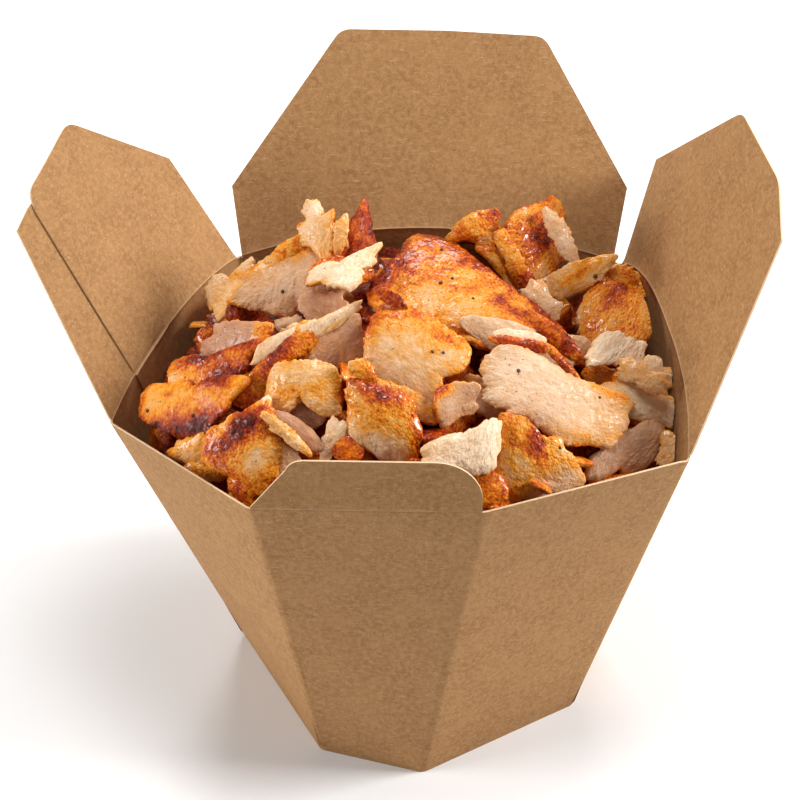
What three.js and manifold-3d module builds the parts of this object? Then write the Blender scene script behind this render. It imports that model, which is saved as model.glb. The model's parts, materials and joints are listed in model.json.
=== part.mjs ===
// Kebab box: a folding carton of brown kraft board with an eight-sided foot,
// its three lid flaps open and its closing tab up, heaped with sliced kebab meat.
// Millimetres, +Z up. The side with the closing tab faces -Y.

import * as THREE from 'three';
import { mergeVertices } from 'three/addons/utils/BufferGeometryUtils.js';
import Module from 'manifold-3d';

// ---- board ----
const BOARD = 0.5;
const FLOOR = 1.5;
const CREASE_GAP = 0.6;
const WALL_ROWS = 4;
const ROOM_TOP = 1.7;
const CLEAR_OF_RIM = 1.03;
const FLAP_ROWS = 3;
const MEETING = 1e-4;

// ---- foot: an octagon of alternating long and short sides ----
const FOOT_LONG = 43.5;
const FOOT_SHORT = 26.1;
const FOOT_TURN = -15.7;

// ---- mouth: where the eight wall folds end, anticlockwise from the front left ----
const MOUTH = {
  frontLeft: [-70.3, -17.3, 90],
  tabLeft: [-37, -49.6, 95],
  tabRight: [13, -50.7, 95],
  frontRight: [58.1, -34.6, 95],
  backRight: [49, 37.4, 93],
  backLeft: [-44.9, 38.5, 94],
};

// ---- creases under the flaps rise as arcs above the line between their ends ----
const RIGHT_CREASE = { rise: 9.5, power: 2.8, lean: 18 };
const BACK_CREASE = { rise: 8.5, power: 2, lean: 16 };
const LEFT_CREASE = { rise: 4.5, power: 2.4, lean: 16 };

// ---- flap outlines: along the crease line from its first end, and up the leaning flap ----
const BACK_FLAP = {
  lean: 36,
  crease: [0.02, 0.985],
  outline: [[-1, 18], [20, 54], [43, 55], [69, 55], [95, 17]],
};
const RIGHT_FLAP = {
  lean: 26,
  crease: [0.01, 0.975],
  outline: [[20, 47], [34, 53], [63, 52], [85, 23]],
};
const LEFT_FLAP = {
  lean: 36,
  crease: [0.01, 0.785],
  outline: [[-2, 29], [16, 53], [38, 49], [40, 45]],
};
// The strip of the front left side's sheet that the left flap is glued onto.
const SEAM_STRIP = {
  lean: 36,
  crease: [0.62, 0.99],
  outline: [[28, 44], [39, 47], [47, 45]],
};
const FLAP_CORNER = 2.5;
const CORNER_STEPS = 2;
const FLAP_STEP = 7;
const SEAM_STEP = 0.004;
const STRIP_BITE = 0.2;

// ---- closing tab ----
const TAB_HEIGHT = 13.2;
const TAB_LEAN_IN = 6;
const TAB_LEFT_BEVEL = [8.2, 10.6];
const TAB_LEFT_ROUND = 4;
const TAB_LEFT_EASE = 1;
const TAB_RIGHT_ROUND = 10;
const TAB_END_GAP = 0.5;
const TAB_CURVE_STEPS = 8;

// ---- meat ----
const PIECE_GAP = 0.3;
const HEAP = { edge: 86, crown: 107, fullness: 0.9, middle: [-6, -2], reach: [64, 52] };
const LUMPS = { height: 1.2, apart: [5, 6, 4], start: 2 };
const HEAP_RINGS = [0.86, 0.68, 0.46, 0.22];
const SLICE_GRID = [7, 4];
const SLICE_ROUND = 0.14;
const EDGE_THIN = 0.5;
const UNEVEN_THICKNESS = 0.15;
const SMOOTHED_BY = 0.03;
const WANDER_WAVES = [2, 3, 5, 7];

// Each slice: its name, its middle, its turns in degrees about X, Y and Z in that order, its
// length, width and thickness, how much wider its far end is, how far its sides slide, the
// degrees it curls along its length and cups across its width, and how rough its outline is.
// Slices that lie on top come first.
const SLICES = [
  ['slice_crown', [14, 0, 112], [0, 15, -30], [46, 24, 3.5], -0.3, 0.2, 40, 40, 0.06],
  ['slice_front_pale', [8, -41, 102], [55, -5, 15], [17, 10, 2.5], 0.3, 0.5, 15, 20, 0.07],
  ['slice_big_pale', [29, -26, 106], [30, 25, -5], [37, 15, 3], 0, 0.3, 25, 20, 0.07],
  ['slice_front_brown', [25, -38, 98], [60, 15, 10], [18, 18, 3], -0.2, -0.2, 35, 45, 0.07],
  ['slice_upper_left', [-31, 6, 113], [25, -15, 10], [27, 15, 3], 0.6, 0.2, 15, 45, 0.08],
  ['slice_top_right', [27, 22, 112], [30, 30, 25], [20, 20, 3.5], 0.3, 0.4, 40, 30, 0.08],
  ['slice_right_curl', [46, 10, 104], [10, 15, 25], [23, 26, 3], 0, 0.7, 65, 35, 0.08],
  ['slice_centre', [-2, -21, 113], [35, 15, -25], [23, 18, 3], 0.1, -0.1, 20, 45, 0.07],
  ['slice_cup_rim', [-26, -29, 109], [50, -10, -10], [17, 14, 3], 0, 0, 80, 30, 0.08],
  ['slice_front_crust', [-9, -35, 107], [55, 15, -15], [17, 14, 3], 0.1, -0.4, 50, 50, 0.06],
  ['slice_charred', [-39, -37, 101], [55, 0, -25], [18, 16, 3.5], 0.2, 0, 50, 50, 0.08],
  ['slice_flake_back', [-18, 0, 121], [10, -10, 10], [16, 7, 2], 0.3, 0.4, 10, 10, 0.12],
  ['slice_flake_right', [43, -11, 105], [35, 20, 30], [17, 7, 2], 0.1, 0.9, 10, 15, 0.12],
  ['slice_pale_stalk', [-25, -15, 114], [60, -20, 20], [26, 4, 2], -0.3, 0.9, 10, 25, 0.1],
  ['slice_left_gold', [-53, -21, 98], [45, -25, -30], [29, 13, 3], 0.1, 0.1, 15, 30, 0.06],
  ['slice_left_red', [-48, -15, 104], [40, -25, -25], [23, 9, 2.5], 0.2, 0.2, 15, 30, 0.08],
  ['slice_arch', [15, 20, 113], [15, 20, 20], [16, 16, 3], 0.7, 0, 90, 15, 0.08],
  ['slice_thin_right', [35, 12, 108], [45, -20, 20], [21, 7, 2], 0, 0, 10, 25, 0.1],
  ['slice_dark_back', [-14, 13, 119], [25, -15, 25], [7, 12, 2.5], 0.2, 0.4, 15, 25, 0.1],
  ['slice_spikes', [-24, 13, 122], [40, -20, -20], [10, 9, 2], 0.1, 0, 15, 15, 0.15],
  ['slice_pink', [-19, -16, 111], [60, -15, 15], [13, 11, 2.5], 0.2, 0.3, -20, 25, 0.07],
  ['slice_crescent', [8, -30, 107], [55, -5, 20], [10, 8, 2.5], -0.2, 0.3, -25, 25, 0.07],
  ['slice_right_brown', [51, -19, 96], [45, 35, 5], [20, 8, 2.5], 0, -0.1, 20, 25, 0.09],
  ['slice_right_edge', [56, -10, 97], [40, 25, 10], [14, 6, 2], -0.5, -0.1, 15, 15, 0.12],
  ['slice_front_right', [45, -28, 91], [65, 10, 30], [20, 10, 3], -0.1, 0.4, 15, 25, 0.07],
  ['slice_fringe', [55, -25, 90], [40, -10, 10], [6, 8, 2], 0, 0.4, 10, 15, 0.13],
  ['slice_grey', [-42, -7, 106], [45, -20, -25], [19, 8, 2.5], -0.1, 0.1, 15, 25, 0.08],
  ['slice_ragged_left', [-44, 12, 107], [10, -30, 0], [14, 11, 2], -0.1, -0.1, 10, 15, 0.13],
  ['scrap_left', [-52, -29, 92], [65, -20, -25], [12, 6, 3], 0.2, 0.3, 30, 30, 0.13],
  ['scrap_front', [-39, -41, 92], [75, 5, -25], [6, 6, 3], 0.1, 0, 30, 30, 0.13],
  ['scrap_tab', [-19, -36, 102], [60, -10, 5], [5, 9, 2.5], 0, 0.3, 20, 20, 0.14],
].map(([name, at, turn, size, taper, skew, curl, cup, rough]) => (
  { name, at, turn, size, taper, skew, curl, cup, rough }
));

// ---- materials ----
const kraft = new THREE.MeshStandardMaterial({ color: 0xb98d5f, roughness: 0.85, metalness: 0 });
const roast = new THREE.MeshStandardMaterial({ color: 0xb5713a, roughness: 0.5, metalness: 0 });
const UP = new THREE.Vector3(0, 0, 1);

const vec = (p) => new THREE.Vector3(p[0], p[1], p[2]);
const rad = THREE.MathUtils.degToRad;
const mix = (a, b, t) => a.clone().lerp(b, t);

// ---- solids ----
const wasm = await Module();
wasm.setup();

// Moves every vertex of a closed three.js geometry and merges the ones that meet.
function warp(geometry, place) {
  const source = geometry.getAttribute('position');
  const point = new THREE.Vector3();
  for (let i = 0; i < source.count; i += 1) {
    point.fromBufferAttribute(source, i);
    const to = place(point, i);
    source.setXYZ(i, to.x, to.y, to.z);
  }
  geometry.deleteAttribute('normal');
  geometry.deleteAttribute('uv');
  return facingOut(mergeVertices(geometry, MEETING));
}

// Turns a closed mesh's faces outward, and drops faces that the merging left empty.
function facingOut(geometry) {
  const position = geometry.getAttribute('position');
  const kept = [];
  const corner = [new THREE.Vector3(), new THREE.Vector3(), new THREE.Vector3()];
  let volume = 0;
  for (let i = 0; i < geometry.index.count; i += 3) {
    const face = [0, 1, 2].map((k) => geometry.index.getX(i + k));
    if (face[0] === face[1] || face[1] === face[2] || face[2] === face[0]) continue;
    face.forEach((vertex, k) => corner[k].fromBufferAttribute(position, vertex));
    volume += corner[0].dot(corner[1].clone().cross(corner[2]));
    kept.push(face);
  }
  geometry.setIndex(kept.flatMap((face) => (volume < 0 ? [face[0], face[2], face[1]] : face)));
  return geometry;
}

function toSolid(geometry) {
  const vertProperties = Float32Array.from(geometry.getAttribute('position').array);
  const triVerts = Uint32Array.from(geometry.index.array);
  return new wasm.Manifold(new wasm.Mesh({ numProp: 3, vertProperties, triVerts }));
}

function toGeometry(solid) {
  const { vertProperties, triVerts } = solid.getMesh();
  const geometry = new THREE.BufferGeometry();
  geometry.setAttribute('position', new THREE.BufferAttribute(vertProperties, 3));
  geometry.setIndex(new THREE.BufferAttribute(triVerts, 1));
  return geometry;
}

// ---- the wall folds ----
// The foot's corners, anticlockwise from the front left fold.
function footCorners() {
  const corners = [];
  const at = new THREE.Vector3();
  for (let side = 0; side < 8; side += 1) {
    corners.push(at.clone());
    const heading = rad(FOOT_TURN - 45 + 45 * side);
    const length = side % 2 === 0 ? FOOT_LONG : FOOT_SHORT;
    at.add(new THREE.Vector3(Math.cos(heading), Math.sin(heading), 0).multiplyScalar(length));
  }
  const middle = corners[0].clone().add(corners[4]).multiplyScalar(0.5);
  return corners.map((corner) => corner.sub(middle));
}

// A leaning plane above the line between two mouth corners.
function leaningPlane(from, to, lean) {
  const along = to.clone().sub(from).normalize();
  const out = along.clone().cross(UP).normalize();
  const up = out.clone().cross(along).normalize();
  const slope = up.multiplyScalar(Math.cos(rad(lean))).addScaledVector(out, Math.sin(rad(lean)));
  const at = (x, h) => from.clone().addScaledVector(along, x).addScaledVector(slope, h);
  return { at, along, slope, length: from.distanceTo(to) };
}

// A function giving the points of a crease, from 0 at its first end to 1 at its last.
function creaseArc(from, to, crease) {
  const plane = leaningPlane(from, to, crease.lean);
  const height = (s) => crease.rise * (1 - Math.abs(2 * s - 1) ** crease.power);
  return (s) => plane.at(plane.length * s, height(s));
}

const foot = footCorners();
const mouth = Object.fromEntries(Object.entries(MOUTH).map(([name, p]) => [name, vec(p)]));
const rightArc = creaseArc(mouth.frontRight, mouth.backRight, RIGHT_CREASE);
const backArc = creaseArc(mouth.backRight, mouth.backLeft, BACK_CREASE);
const leftArc = creaseArc(mouth.backLeft, mouth.frontLeft, LEFT_CREASE);
const edge = (from, to) => (s) => mix(from, to, s);

// Each wall stands on one side of the foot and ends at its stretch of the mouth.
const WALLS = [
  { top: edge(mouth.frontLeft, mouth.tabLeft), columns: 2 },
  { top: edge(mouth.tabLeft, mouth.tabRight), columns: 2 },
  { top: edge(mouth.tabRight, mouth.frontRight), columns: 3 },
  { top: rightArc, columns: 8, creased: true },
  { top: (s) => backArc(s / 3), columns: 4, creased: true },
  { top: (s) => backArc((1 + s) / 3), columns: 4, creased: true },
  { top: (s) => backArc((2 + s) / 3), columns: 4, creased: true },
  { top: leftArc, columns: 8, creased: true, lap: [0.6, 0.785] },
];

// Straight lines from the foot to the mouth, all the way round, with the board's thickness there.
const columns = WALLS.flatMap((wall, side) => {
  const list = [];
  const stations = Array.from({ length: wall.columns }, (_, k) => k / wall.columns);
  if (wall.lap) stations.push(wall.lap[0], wall.lap[1], wall.lap[1] + SEAM_STEP);
  stations.sort((first, second) => first - second);
  for (const s of stations) {
    const low = mix(foot[side], foot[(side + 1) % 8], s);
    const high = wall.top(s).addScaledVector(UP, wall.creased ? -CREASE_GAP / 2 : 0);
    const layers = wall.lap && s >= wall.lap[0] && s <= wall.lap[1] ? 2 : 1;
    list.push({ low, high, layers });
  }
  return list;
});

// One level of the walls, drawn in by a number of board thicknesses and a level distance.
function ring(height, thicknesses, inset) {
  const points = columns.map(({ low, high }) => mix(low, high, height));
  const count = points.length;
  return points.map((point, i) => {
    const before = point.clone().sub(points[(i + count - 1) % count]).setZ(0).normalize();
    const after = points[(i + 1) % count].clone().sub(point).setZ(0).normalize();
    const inward = new THREE.Vector3(-before.y - after.y, before.x + after.x, 0).normalize();
    const mitre = 1 / Math.sqrt((1 + before.dot(after)) / 2);
    const distance = (BOARD * columns[i].layers * thicknesses + inset) * mitre;
    return point.clone().addScaledVector(inward, distance);
  });
}

// A closed solid whose skin runs from the middle of the bottom through the rings to the top.
function ringed(rings, bottom, top) {
  const profile = [new THREE.Vector2(0, 0)];
  rings.forEach((_, k) => profile.push(new THREE.Vector2(1, k)));
  profile.push(new THREE.Vector2(0, rings.length));
  const steps = profile.length;
  return warp(new THREE.LatheGeometry(profile, columns.length), (_, i) => {
    const k = i % steps;
    if (k === 0) return new THREE.Vector3(0, 0, bottom);
    if (k === steps - 1) return new THREE.Vector3(0, 0, top);
    return rings[k - 1][Math.floor(i / steps) % columns.length];
  });
}

const levels = Array.from({ length: WALL_ROWS + 1 }, (_, row) => row / WALL_ROWS);
const insideLevels = levels.map((level) => (level === 0 ? FLOOR / MOUTH.tabLeft[2] : level));

// Walls and floor: the whole outside less everything within the board.
function cartonTub() {
  const outside = levels.map((level) => ring(level, 0, 0));
  const inside = [...insideLevels, CLEAR_OF_RIM].map((level) => ring(level, 1, 0));
  inside[0].forEach((point) => point.setZ(FLOOR));
  const solid = toSolid(ringed(outside, 0, MOUTH.tabLeft[2]));
  return toGeometry(solid.subtract(toSolid(ringed(inside, FLOOR, MOUTH.tabLeft[2] * 2))));
}

// The room inside the walls, carried on upward past the mouth, that the food has to fit.
function room(inset) {
  const rings = [...insideLevels, ROOM_TOP].map((level) => ring(level, 1, inset));
  rings[0].forEach((point) => point.setZ(FLOOR + inset));
  const lid = rings[rings.length - 1];
  lid.forEach((point) => point.setZ(MOUTH.tabLeft[2] * ROOM_TOP));
  return toSolid(ringed(rings, FLOOR + inset, MOUTH.tabLeft[2] * ROOM_TOP));
}

// ---- flaps ----
// Rounds the inner corners of a path, keeping its two ends.
function roundedPath(path, radius, steps) {
  const points = [path[0].clone()];
  for (let i = 1; i < path.length - 1; i += 1) {
    const back = path[i - 1].clone().sub(path[i]).setLength(radius).add(path[i]);
    const on = path[i + 1].clone().sub(path[i]).setLength(radius).add(path[i]);
    points.push(...new THREE.QuadraticBezierCurve3(back, path[i], on).getPoints(steps));
  }
  points.push(path[path.length - 1].clone());
  return points;
}

// Adds points to a path so that none of its steps is long.
function subdivided(path, longest) {
  return path.flatMap((point, i) => {
    if (i === 0) return [point];
    const steps = Math.ceil(point.distanceTo(path[i - 1]) / longest);
    return Array.from({ length: steps }, (_, k) => mix(path[i - 1], point, (k + 1) / steps));
  });
}

// How far along a path each of its points lies, from 0 to 1.
function shares(path) {
  const run = [0];
  for (let i = 1; i < path.length; i += 1) run.push(run[i - 1] + path[i].distanceTo(path[i - 1]));
  return run.map((distance) => distance / run[run.length - 1]);
}

// Board ruled between two paths with the same number of points, between two depths of its skin.
function sheet(near, far, rows, inner, outer) {
  const last = near.length - 1;
  const clamp = THREE.MathUtils.clamp;
  const at = (i, j) => mix(near[clamp(i, 0, last)], far[clamp(i, 0, last)], clamp(j, 0, rows) / rows);
  return warp(new THREE.BoxGeometry(1, 1, 1, last, rows, 1), (point) => {
    const i = Math.round((point.x + 0.5) * last);
    const j = Math.round((point.y + 0.5) * rows);
    const outward = at(i + 1, j).sub(at(i - 1, j)).cross(at(i, j + 1).sub(at(i, j - 1))).normalize();
    return at(i, j).addScaledVector(outward, point.z > 0 ? outer : inner);
  });
}

function openFlap(arc, flap, inner, outer) {
  const plane = leaningPlane(arc(0), arc(1), flap.lean);
  const corners = flap.outline.map(([x, h]) => plane.at(x, h));
  const far = subdivided(roundedPath(corners, FLAP_CORNER, CORNER_STEPS), FLAP_STEP);
  const near = shares(far).map((share, i) => {
    const onCrease = arc(THREE.MathUtils.lerp(flap.crease[0], flap.crease[1], share));
    return onCrease.add(far[i].clone().sub(onCrease).setLength(CREASE_GAP / 2));
  });
  return sheet(near, far, FLAP_ROWS, inner, outer);
}

function seamedFlap() {
  const inner = toSolid(openFlap(leftArc, LEFT_FLAP, -BOARD / 2, BOARD / 2));
  const strip = openFlap(leftArc, SEAM_STRIP, BOARD / 2 - STRIP_BITE, BOARD * 1.5 - STRIP_BITE);
  return toGeometry(inner.add(toSolid(strip)));
}

// The tab stands on the rim between the two short stretches of plain edge.
function closingTab() {
  const plane = leaningPlane(mouth.tabLeft, mouth.tabRight, -TAB_LEAN_IN);
  const width = plane.length - TAB_END_GAP;
  const [bevel, bevelHeight] = TAB_LEFT_BEVEL;
  const shape = new THREE.Shape();
  shape.moveTo(TAB_END_GAP, CREASE_GAP);
  shape.lineTo(width, CREASE_GAP);
  shape.lineTo(width, TAB_HEIGHT - TAB_RIGHT_ROUND);
  shape.absarc(width - TAB_RIGHT_ROUND, TAB_HEIGHT - TAB_RIGHT_ROUND, TAB_RIGHT_ROUND, 0, Math.PI / 2);
  shape.lineTo(bevel + TAB_LEFT_ROUND, TAB_HEIGHT);
  shape.quadraticCurveTo(bevel + TAB_LEFT_EASE, TAB_HEIGHT, bevel, bevelHeight);
  shape.closePath();
  const settings = { depth: BOARD, bevelEnabled: false, curveSegments: TAB_CURVE_STEPS };
  const outward = plane.along.clone().cross(plane.slope).normalize();
  return warp(new THREE.ExtrudeGeometry(shape, settings), (point) => {
    return plane.at(point.x, point.y).addScaledVector(outward, point.z - BOARD);
  });
}

// ---- meat ----
// A smooth wander between -1 and 1 that depends on where it is asked for.
function wander(t, seed) {
  const waves = WANDER_WAVES.map((k) => Math.sin(k * t + seed * (1.3 + k)) / Math.sqrt(k));
  return waves.reduce((sum, wave) => sum + wave, 0) / 2;
}

// A curved slice with a thinner, uneven edge, swollen on every side by a given amount.
function meatSlice(slice, seed, swell) {
  const [length, width, thick] = slice.size;
  const [along, across] = SLICE_GRID;
  const curl = rad(slice.curl);
  const cup = rad(slice.cup);
  const turn = slice.turn.map(rad);
  const lay = new THREE.Matrix4().makeRotationFromEuler(new THREE.Euler(...turn, 'ZYX'));
  lay.setPosition(vec(slice.at));
  return toSolid(warp(new THREE.BoxGeometry(2, 2, 2, along, across, 1), ({ x, y, z }) => {
    const out = Math.max(Math.abs(x), Math.abs(y));
    const ragged = 1 + slice.rough * wander(Math.atan2(y, x), seed) * out * out;
    const u = x * Math.sqrt(1 - SLICE_ROUND * y * y) * ragged * (1 + (2 * swell) / length);
    const v = y * Math.sqrt(1 - SLICE_ROUND * x * x) * ragged * (1 + (2 * swell) / width);
    const uneven = 1 + UNEVEN_THICKNESS * wander(2 * x + 3 * y, seed + 5);
    const lift = z * ((thick / 2) * (1 - EDGE_THIN * out ** 3) * uneven + swell);
    const bow = width / cup;
    const tapered = v * (1 + slice.taper * u);
    const side = (bow + lift) * Math.sin((tapered * cup) / 2);
    const height = (bow + lift) * Math.cos((tapered * cup) / 2) - bow;
    const bend = length / curl;
    const slid = u + (slice.skew * v * width) / length;
    const ahead = (bend + height) * Math.sin((slid * curl) / 2);
    const top = (bend + height) * Math.cos((slid * curl) / 2) - bend;
    return new THREE.Vector3(ahead, side, top).applyMatrix4(lay);
  }));
}

// The meat packed below the slices: it fills the walls and rises to a lumpy crown.
function packedMeat(swell) {
  const low = insideLevels.filter((level) => level < HEAP_RINGS[0]);
  const walls = [...low, HEAP_RINGS[0]].map((level) => ring(level, 1, PIECE_GAP - swell));
  walls[0].forEach((point) => point.setZ(FLOOR + PIECE_GAP - swell));
  const heapHeight = (point) => {
    const x = (point.x - HEAP.middle[0]) / HEAP.reach[0];
    const y = (point.y - HEAP.middle[1]) / HEAP.reach[1];
    const rise = (HEAP.crown - HEAP.edge) * Math.max(0, 1 - x * x - y * y) ** HEAP.fullness;
    const [apartX, apartY, aslant] = LUMPS.apart;
    const rows = Math.sin(point.x / apartX + LUMPS.start) * Math.cos(point.y / apartY);
    const lump = rows + Math.sin((point.x - point.y) / aslant);
    return HEAP.edge + rise + LUMPS.height * lump + swell;
  };
  const brim = walls[walls.length - 1];
  const centre = new THREE.Vector3(HEAP.middle[0], HEAP.middle[1], 0);
  const dome = HEAP_RINGS.slice(1).map((share) => brim.map((point) => {
    const inner = centre.clone().lerp(point.clone().setZ(0), share / HEAP_RINGS[0]);
    return inner.setZ(heapHeight(inner));
  }));
  return ringed([...walls, ...dome], FLOOR + PIECE_GAP - swell, HEAP.crown + swell);
}

// ---- the whole box: its board ----
const box = new THREE.Group();

function addNode(name, geometry, material) {
  const mesh = new THREE.Mesh(geometry, material);
  mesh.name = name;
  box.add(mesh);
}

addNode('carton', cartonTub(), kraft);
addNode('back_flap', openFlap(backArc, BACK_FLAP, -BOARD / 2, BOARD / 2), kraft);
addNode('left_flap', seamedFlap(), kraft);
addNode('right_flap', openFlap(rightArc, RIGHT_FLAP, -BOARD / 2, BOARD / 2), kraft);
addNode('front_tab', closingTab(), kraft);

// ---- meat: every slice gives way to the ones laid over it ----
addNode('packed_meat', packedMeat(0), roast);
const foodRoom = room(PIECE_GAP);
const taken = [toSolid(packedMeat(PIECE_GAP))];
SLICES.forEach((slice, seed) => {
  let solid = meatSlice(slice, seed, 0).intersect(foodRoom);
  taken.forEach((other) => {
    solid = solid.subtract(other);
  });
  const pieces = solid.decompose().sort((first, second) => second.volume() - first.volume());
  addNode(slice.name, toGeometry(pieces[0].simplify(SMOOTHED_BY)), roast);
  taken.push(meatSlice(slice, seed, PIECE_GAP));
});

// The origin is under the middle of the open box.
const extent = new THREE.Box3().setFromObject(box);
box.position.set(-(extent.min.x + extent.max.x) / 2, -(extent.min.y + extent.max.y) / 2, 0);

export default box;
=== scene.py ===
# Kebab box: the looks of a kraft carton with an eight-sided foot, and of the sliced meat heaped in it.
import json
import math
from collections import namedtuple
from itertools import product

import bpy
import numpy as np
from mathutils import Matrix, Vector


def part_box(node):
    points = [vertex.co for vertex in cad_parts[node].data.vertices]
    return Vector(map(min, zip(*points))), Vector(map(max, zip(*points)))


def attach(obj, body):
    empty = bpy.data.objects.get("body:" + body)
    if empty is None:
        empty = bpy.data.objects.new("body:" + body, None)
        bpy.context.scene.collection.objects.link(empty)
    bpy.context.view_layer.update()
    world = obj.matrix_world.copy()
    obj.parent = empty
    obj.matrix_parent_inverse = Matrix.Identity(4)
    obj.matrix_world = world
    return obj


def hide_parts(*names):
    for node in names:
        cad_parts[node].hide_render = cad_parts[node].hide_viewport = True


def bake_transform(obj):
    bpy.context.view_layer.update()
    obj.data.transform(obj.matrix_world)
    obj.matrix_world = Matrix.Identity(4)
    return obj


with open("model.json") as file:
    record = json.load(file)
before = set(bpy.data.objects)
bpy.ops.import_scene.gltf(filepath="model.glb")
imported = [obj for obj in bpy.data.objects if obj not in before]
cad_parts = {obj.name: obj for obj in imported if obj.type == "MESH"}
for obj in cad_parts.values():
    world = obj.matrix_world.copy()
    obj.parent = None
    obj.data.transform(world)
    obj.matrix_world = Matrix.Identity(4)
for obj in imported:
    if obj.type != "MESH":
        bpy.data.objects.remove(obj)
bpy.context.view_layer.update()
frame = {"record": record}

MM = 0.001
UP = np.array([0.0, 0.0, 1.0])

# ---- the carton's sizes, in millimetres from the middle of its foot ----
BOARD = 0.5
FLOOR = 1.5
FOOT_LONG = 43.5
FOOT_SHORT = 26.1
FOOT_TURN = -15.7
MOUTH = {
    "front_left": (-70.3, -17.3, 90),
    "tab_left": (-37, -49.6, 95),
    "tab_right": (13, -50.7, 95),
    "front_right": (58.1, -34.6, 95),
    "back_right": (49, 37.4, 93),
    "back_left": (-44.9, 38.5, 94),
}
MOUTH = {name: np.array(point, float) for name, point in MOUTH.items()}

carton_low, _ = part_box("carton")
FOOT_CENTRE = np.array([
    carton_low.x / MM - MOUTH["front_left"][0],
    carton_low.y / MM - MOUTH["tab_right"][1],
    0.0,
])


def metres(points):
    """Points in millimetres from the middle of the foot, in the frame's metres."""
    return (np.asarray(points, float) + FOOT_CENTRE) * MM


def mix(a, b, share):
    """The value that lies so far from a to b."""
    return a + (b - a) * share


def unit(vectors):
    return vectors / np.maximum(np.linalg.norm(vectors, axis=-1, keepdims=True), 1e-12)


def rounding(start, corner, end, t):
    """Places on the curve that rounds off a corner, from t = 0 at its start to 1 at its end."""
    return (1 - t) ** 2 * start + 2 * t * (1 - t) * corner + t * t * end


def grid_corners(index):
    """The four corners of each cell in a grid of point numbers."""
    return index[:-1, :-1], index[1:, :-1], index[1:, 1:], index[:-1, 1:]


def ring_quads(first, second, count):
    """Faces between two rings of points, whose numbers start at first and at second."""
    here = np.arange(count)
    ahead = (here + 1) % count
    return np.stack([here + first, ahead + first, ahead + second, here + second], 1).tolist()


def ring_cap(first, middle, count):
    """Faces from a ring of points to the point at its middle."""
    return [[first + k, first + (k + 1) % count, middle] for k in range(count)]


# ---- uneven patterns ----
def scattered(i, j, k, seed):
    """A number between 0 and 1 for each whole-number place."""
    h = (i * 374761393 + j * 668265263 + k * 1440662683 + seed * 1274126177) & 0xFFFFFFFF
    h = ((h ^ (h >> 13)) * 1274126177) & 0xFFFFFFFF
    return ((h ^ (h >> 16)) & 0xFFFFFF) / 0xFFFFFF


def swells(points, size, seed):
    """Smooth unevenness between -1 and 1, whose lumps are about size across."""
    q = np.asarray(points, float) / size + 1000
    cell = np.floor(q).astype(np.int64)
    f = q - cell
    f = f * f * (3 - 2 * f)
    total = 0
    for corner in product((0, 1), repeat=3):
        weight = 1
        for axis, side in enumerate(corner):
            weight = weight * (f[..., axis] if side else 1 - f[..., axis])
        total = total + weight * scattered(*(cell[..., a] + corner[a] for a in range(3)), seed)
    return 2 * total - 1


def grains(points, size, seed):
    """Rounded grains: 1 in the middle of each, down to 0 where they meet."""
    q = np.asarray(points, float) / size + 1000
    cell = np.floor(q).astype(np.int64)
    nearest = np.full(q.shape[:-1], 9.0)
    for corner in product((-1, 0, 1), repeat=3):
        place = [cell[..., a] + corner[a] for a in range(3)]
        gap = [place[a] + scattered(*place, seed + 11 * a) - q[..., a] for a in range(3)]
        nearest = np.minimum(nearest, gap[0] ** 2 + gap[1] ** 2 + gap[2] ** 2)
    return 1 - np.clip(np.sqrt(nearest), 0, 1)


# ---- finishes ----
class Socket:
    """A shader socket that Python's operators work on."""

    def __init__(self, finish, socket):
        self.finish = finish
        self.socket = socket

    def worked(self, operation, *values):
        return self.finish.node("Math", {"operation": operation}, dict(enumerate(values)))

    def __add__(self, other):
        return self.worked("ADD", self, other)

    __radd__ = __add__

    def __sub__(self, other):
        return self.worked("SUBTRACT", self, other)

    def __rsub__(self, other):
        return self.worked("SUBTRACT", other, self)

    def __mul__(self, other):
        return self.worked("MULTIPLY", self, other)

    __rmul__ = __mul__


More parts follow.
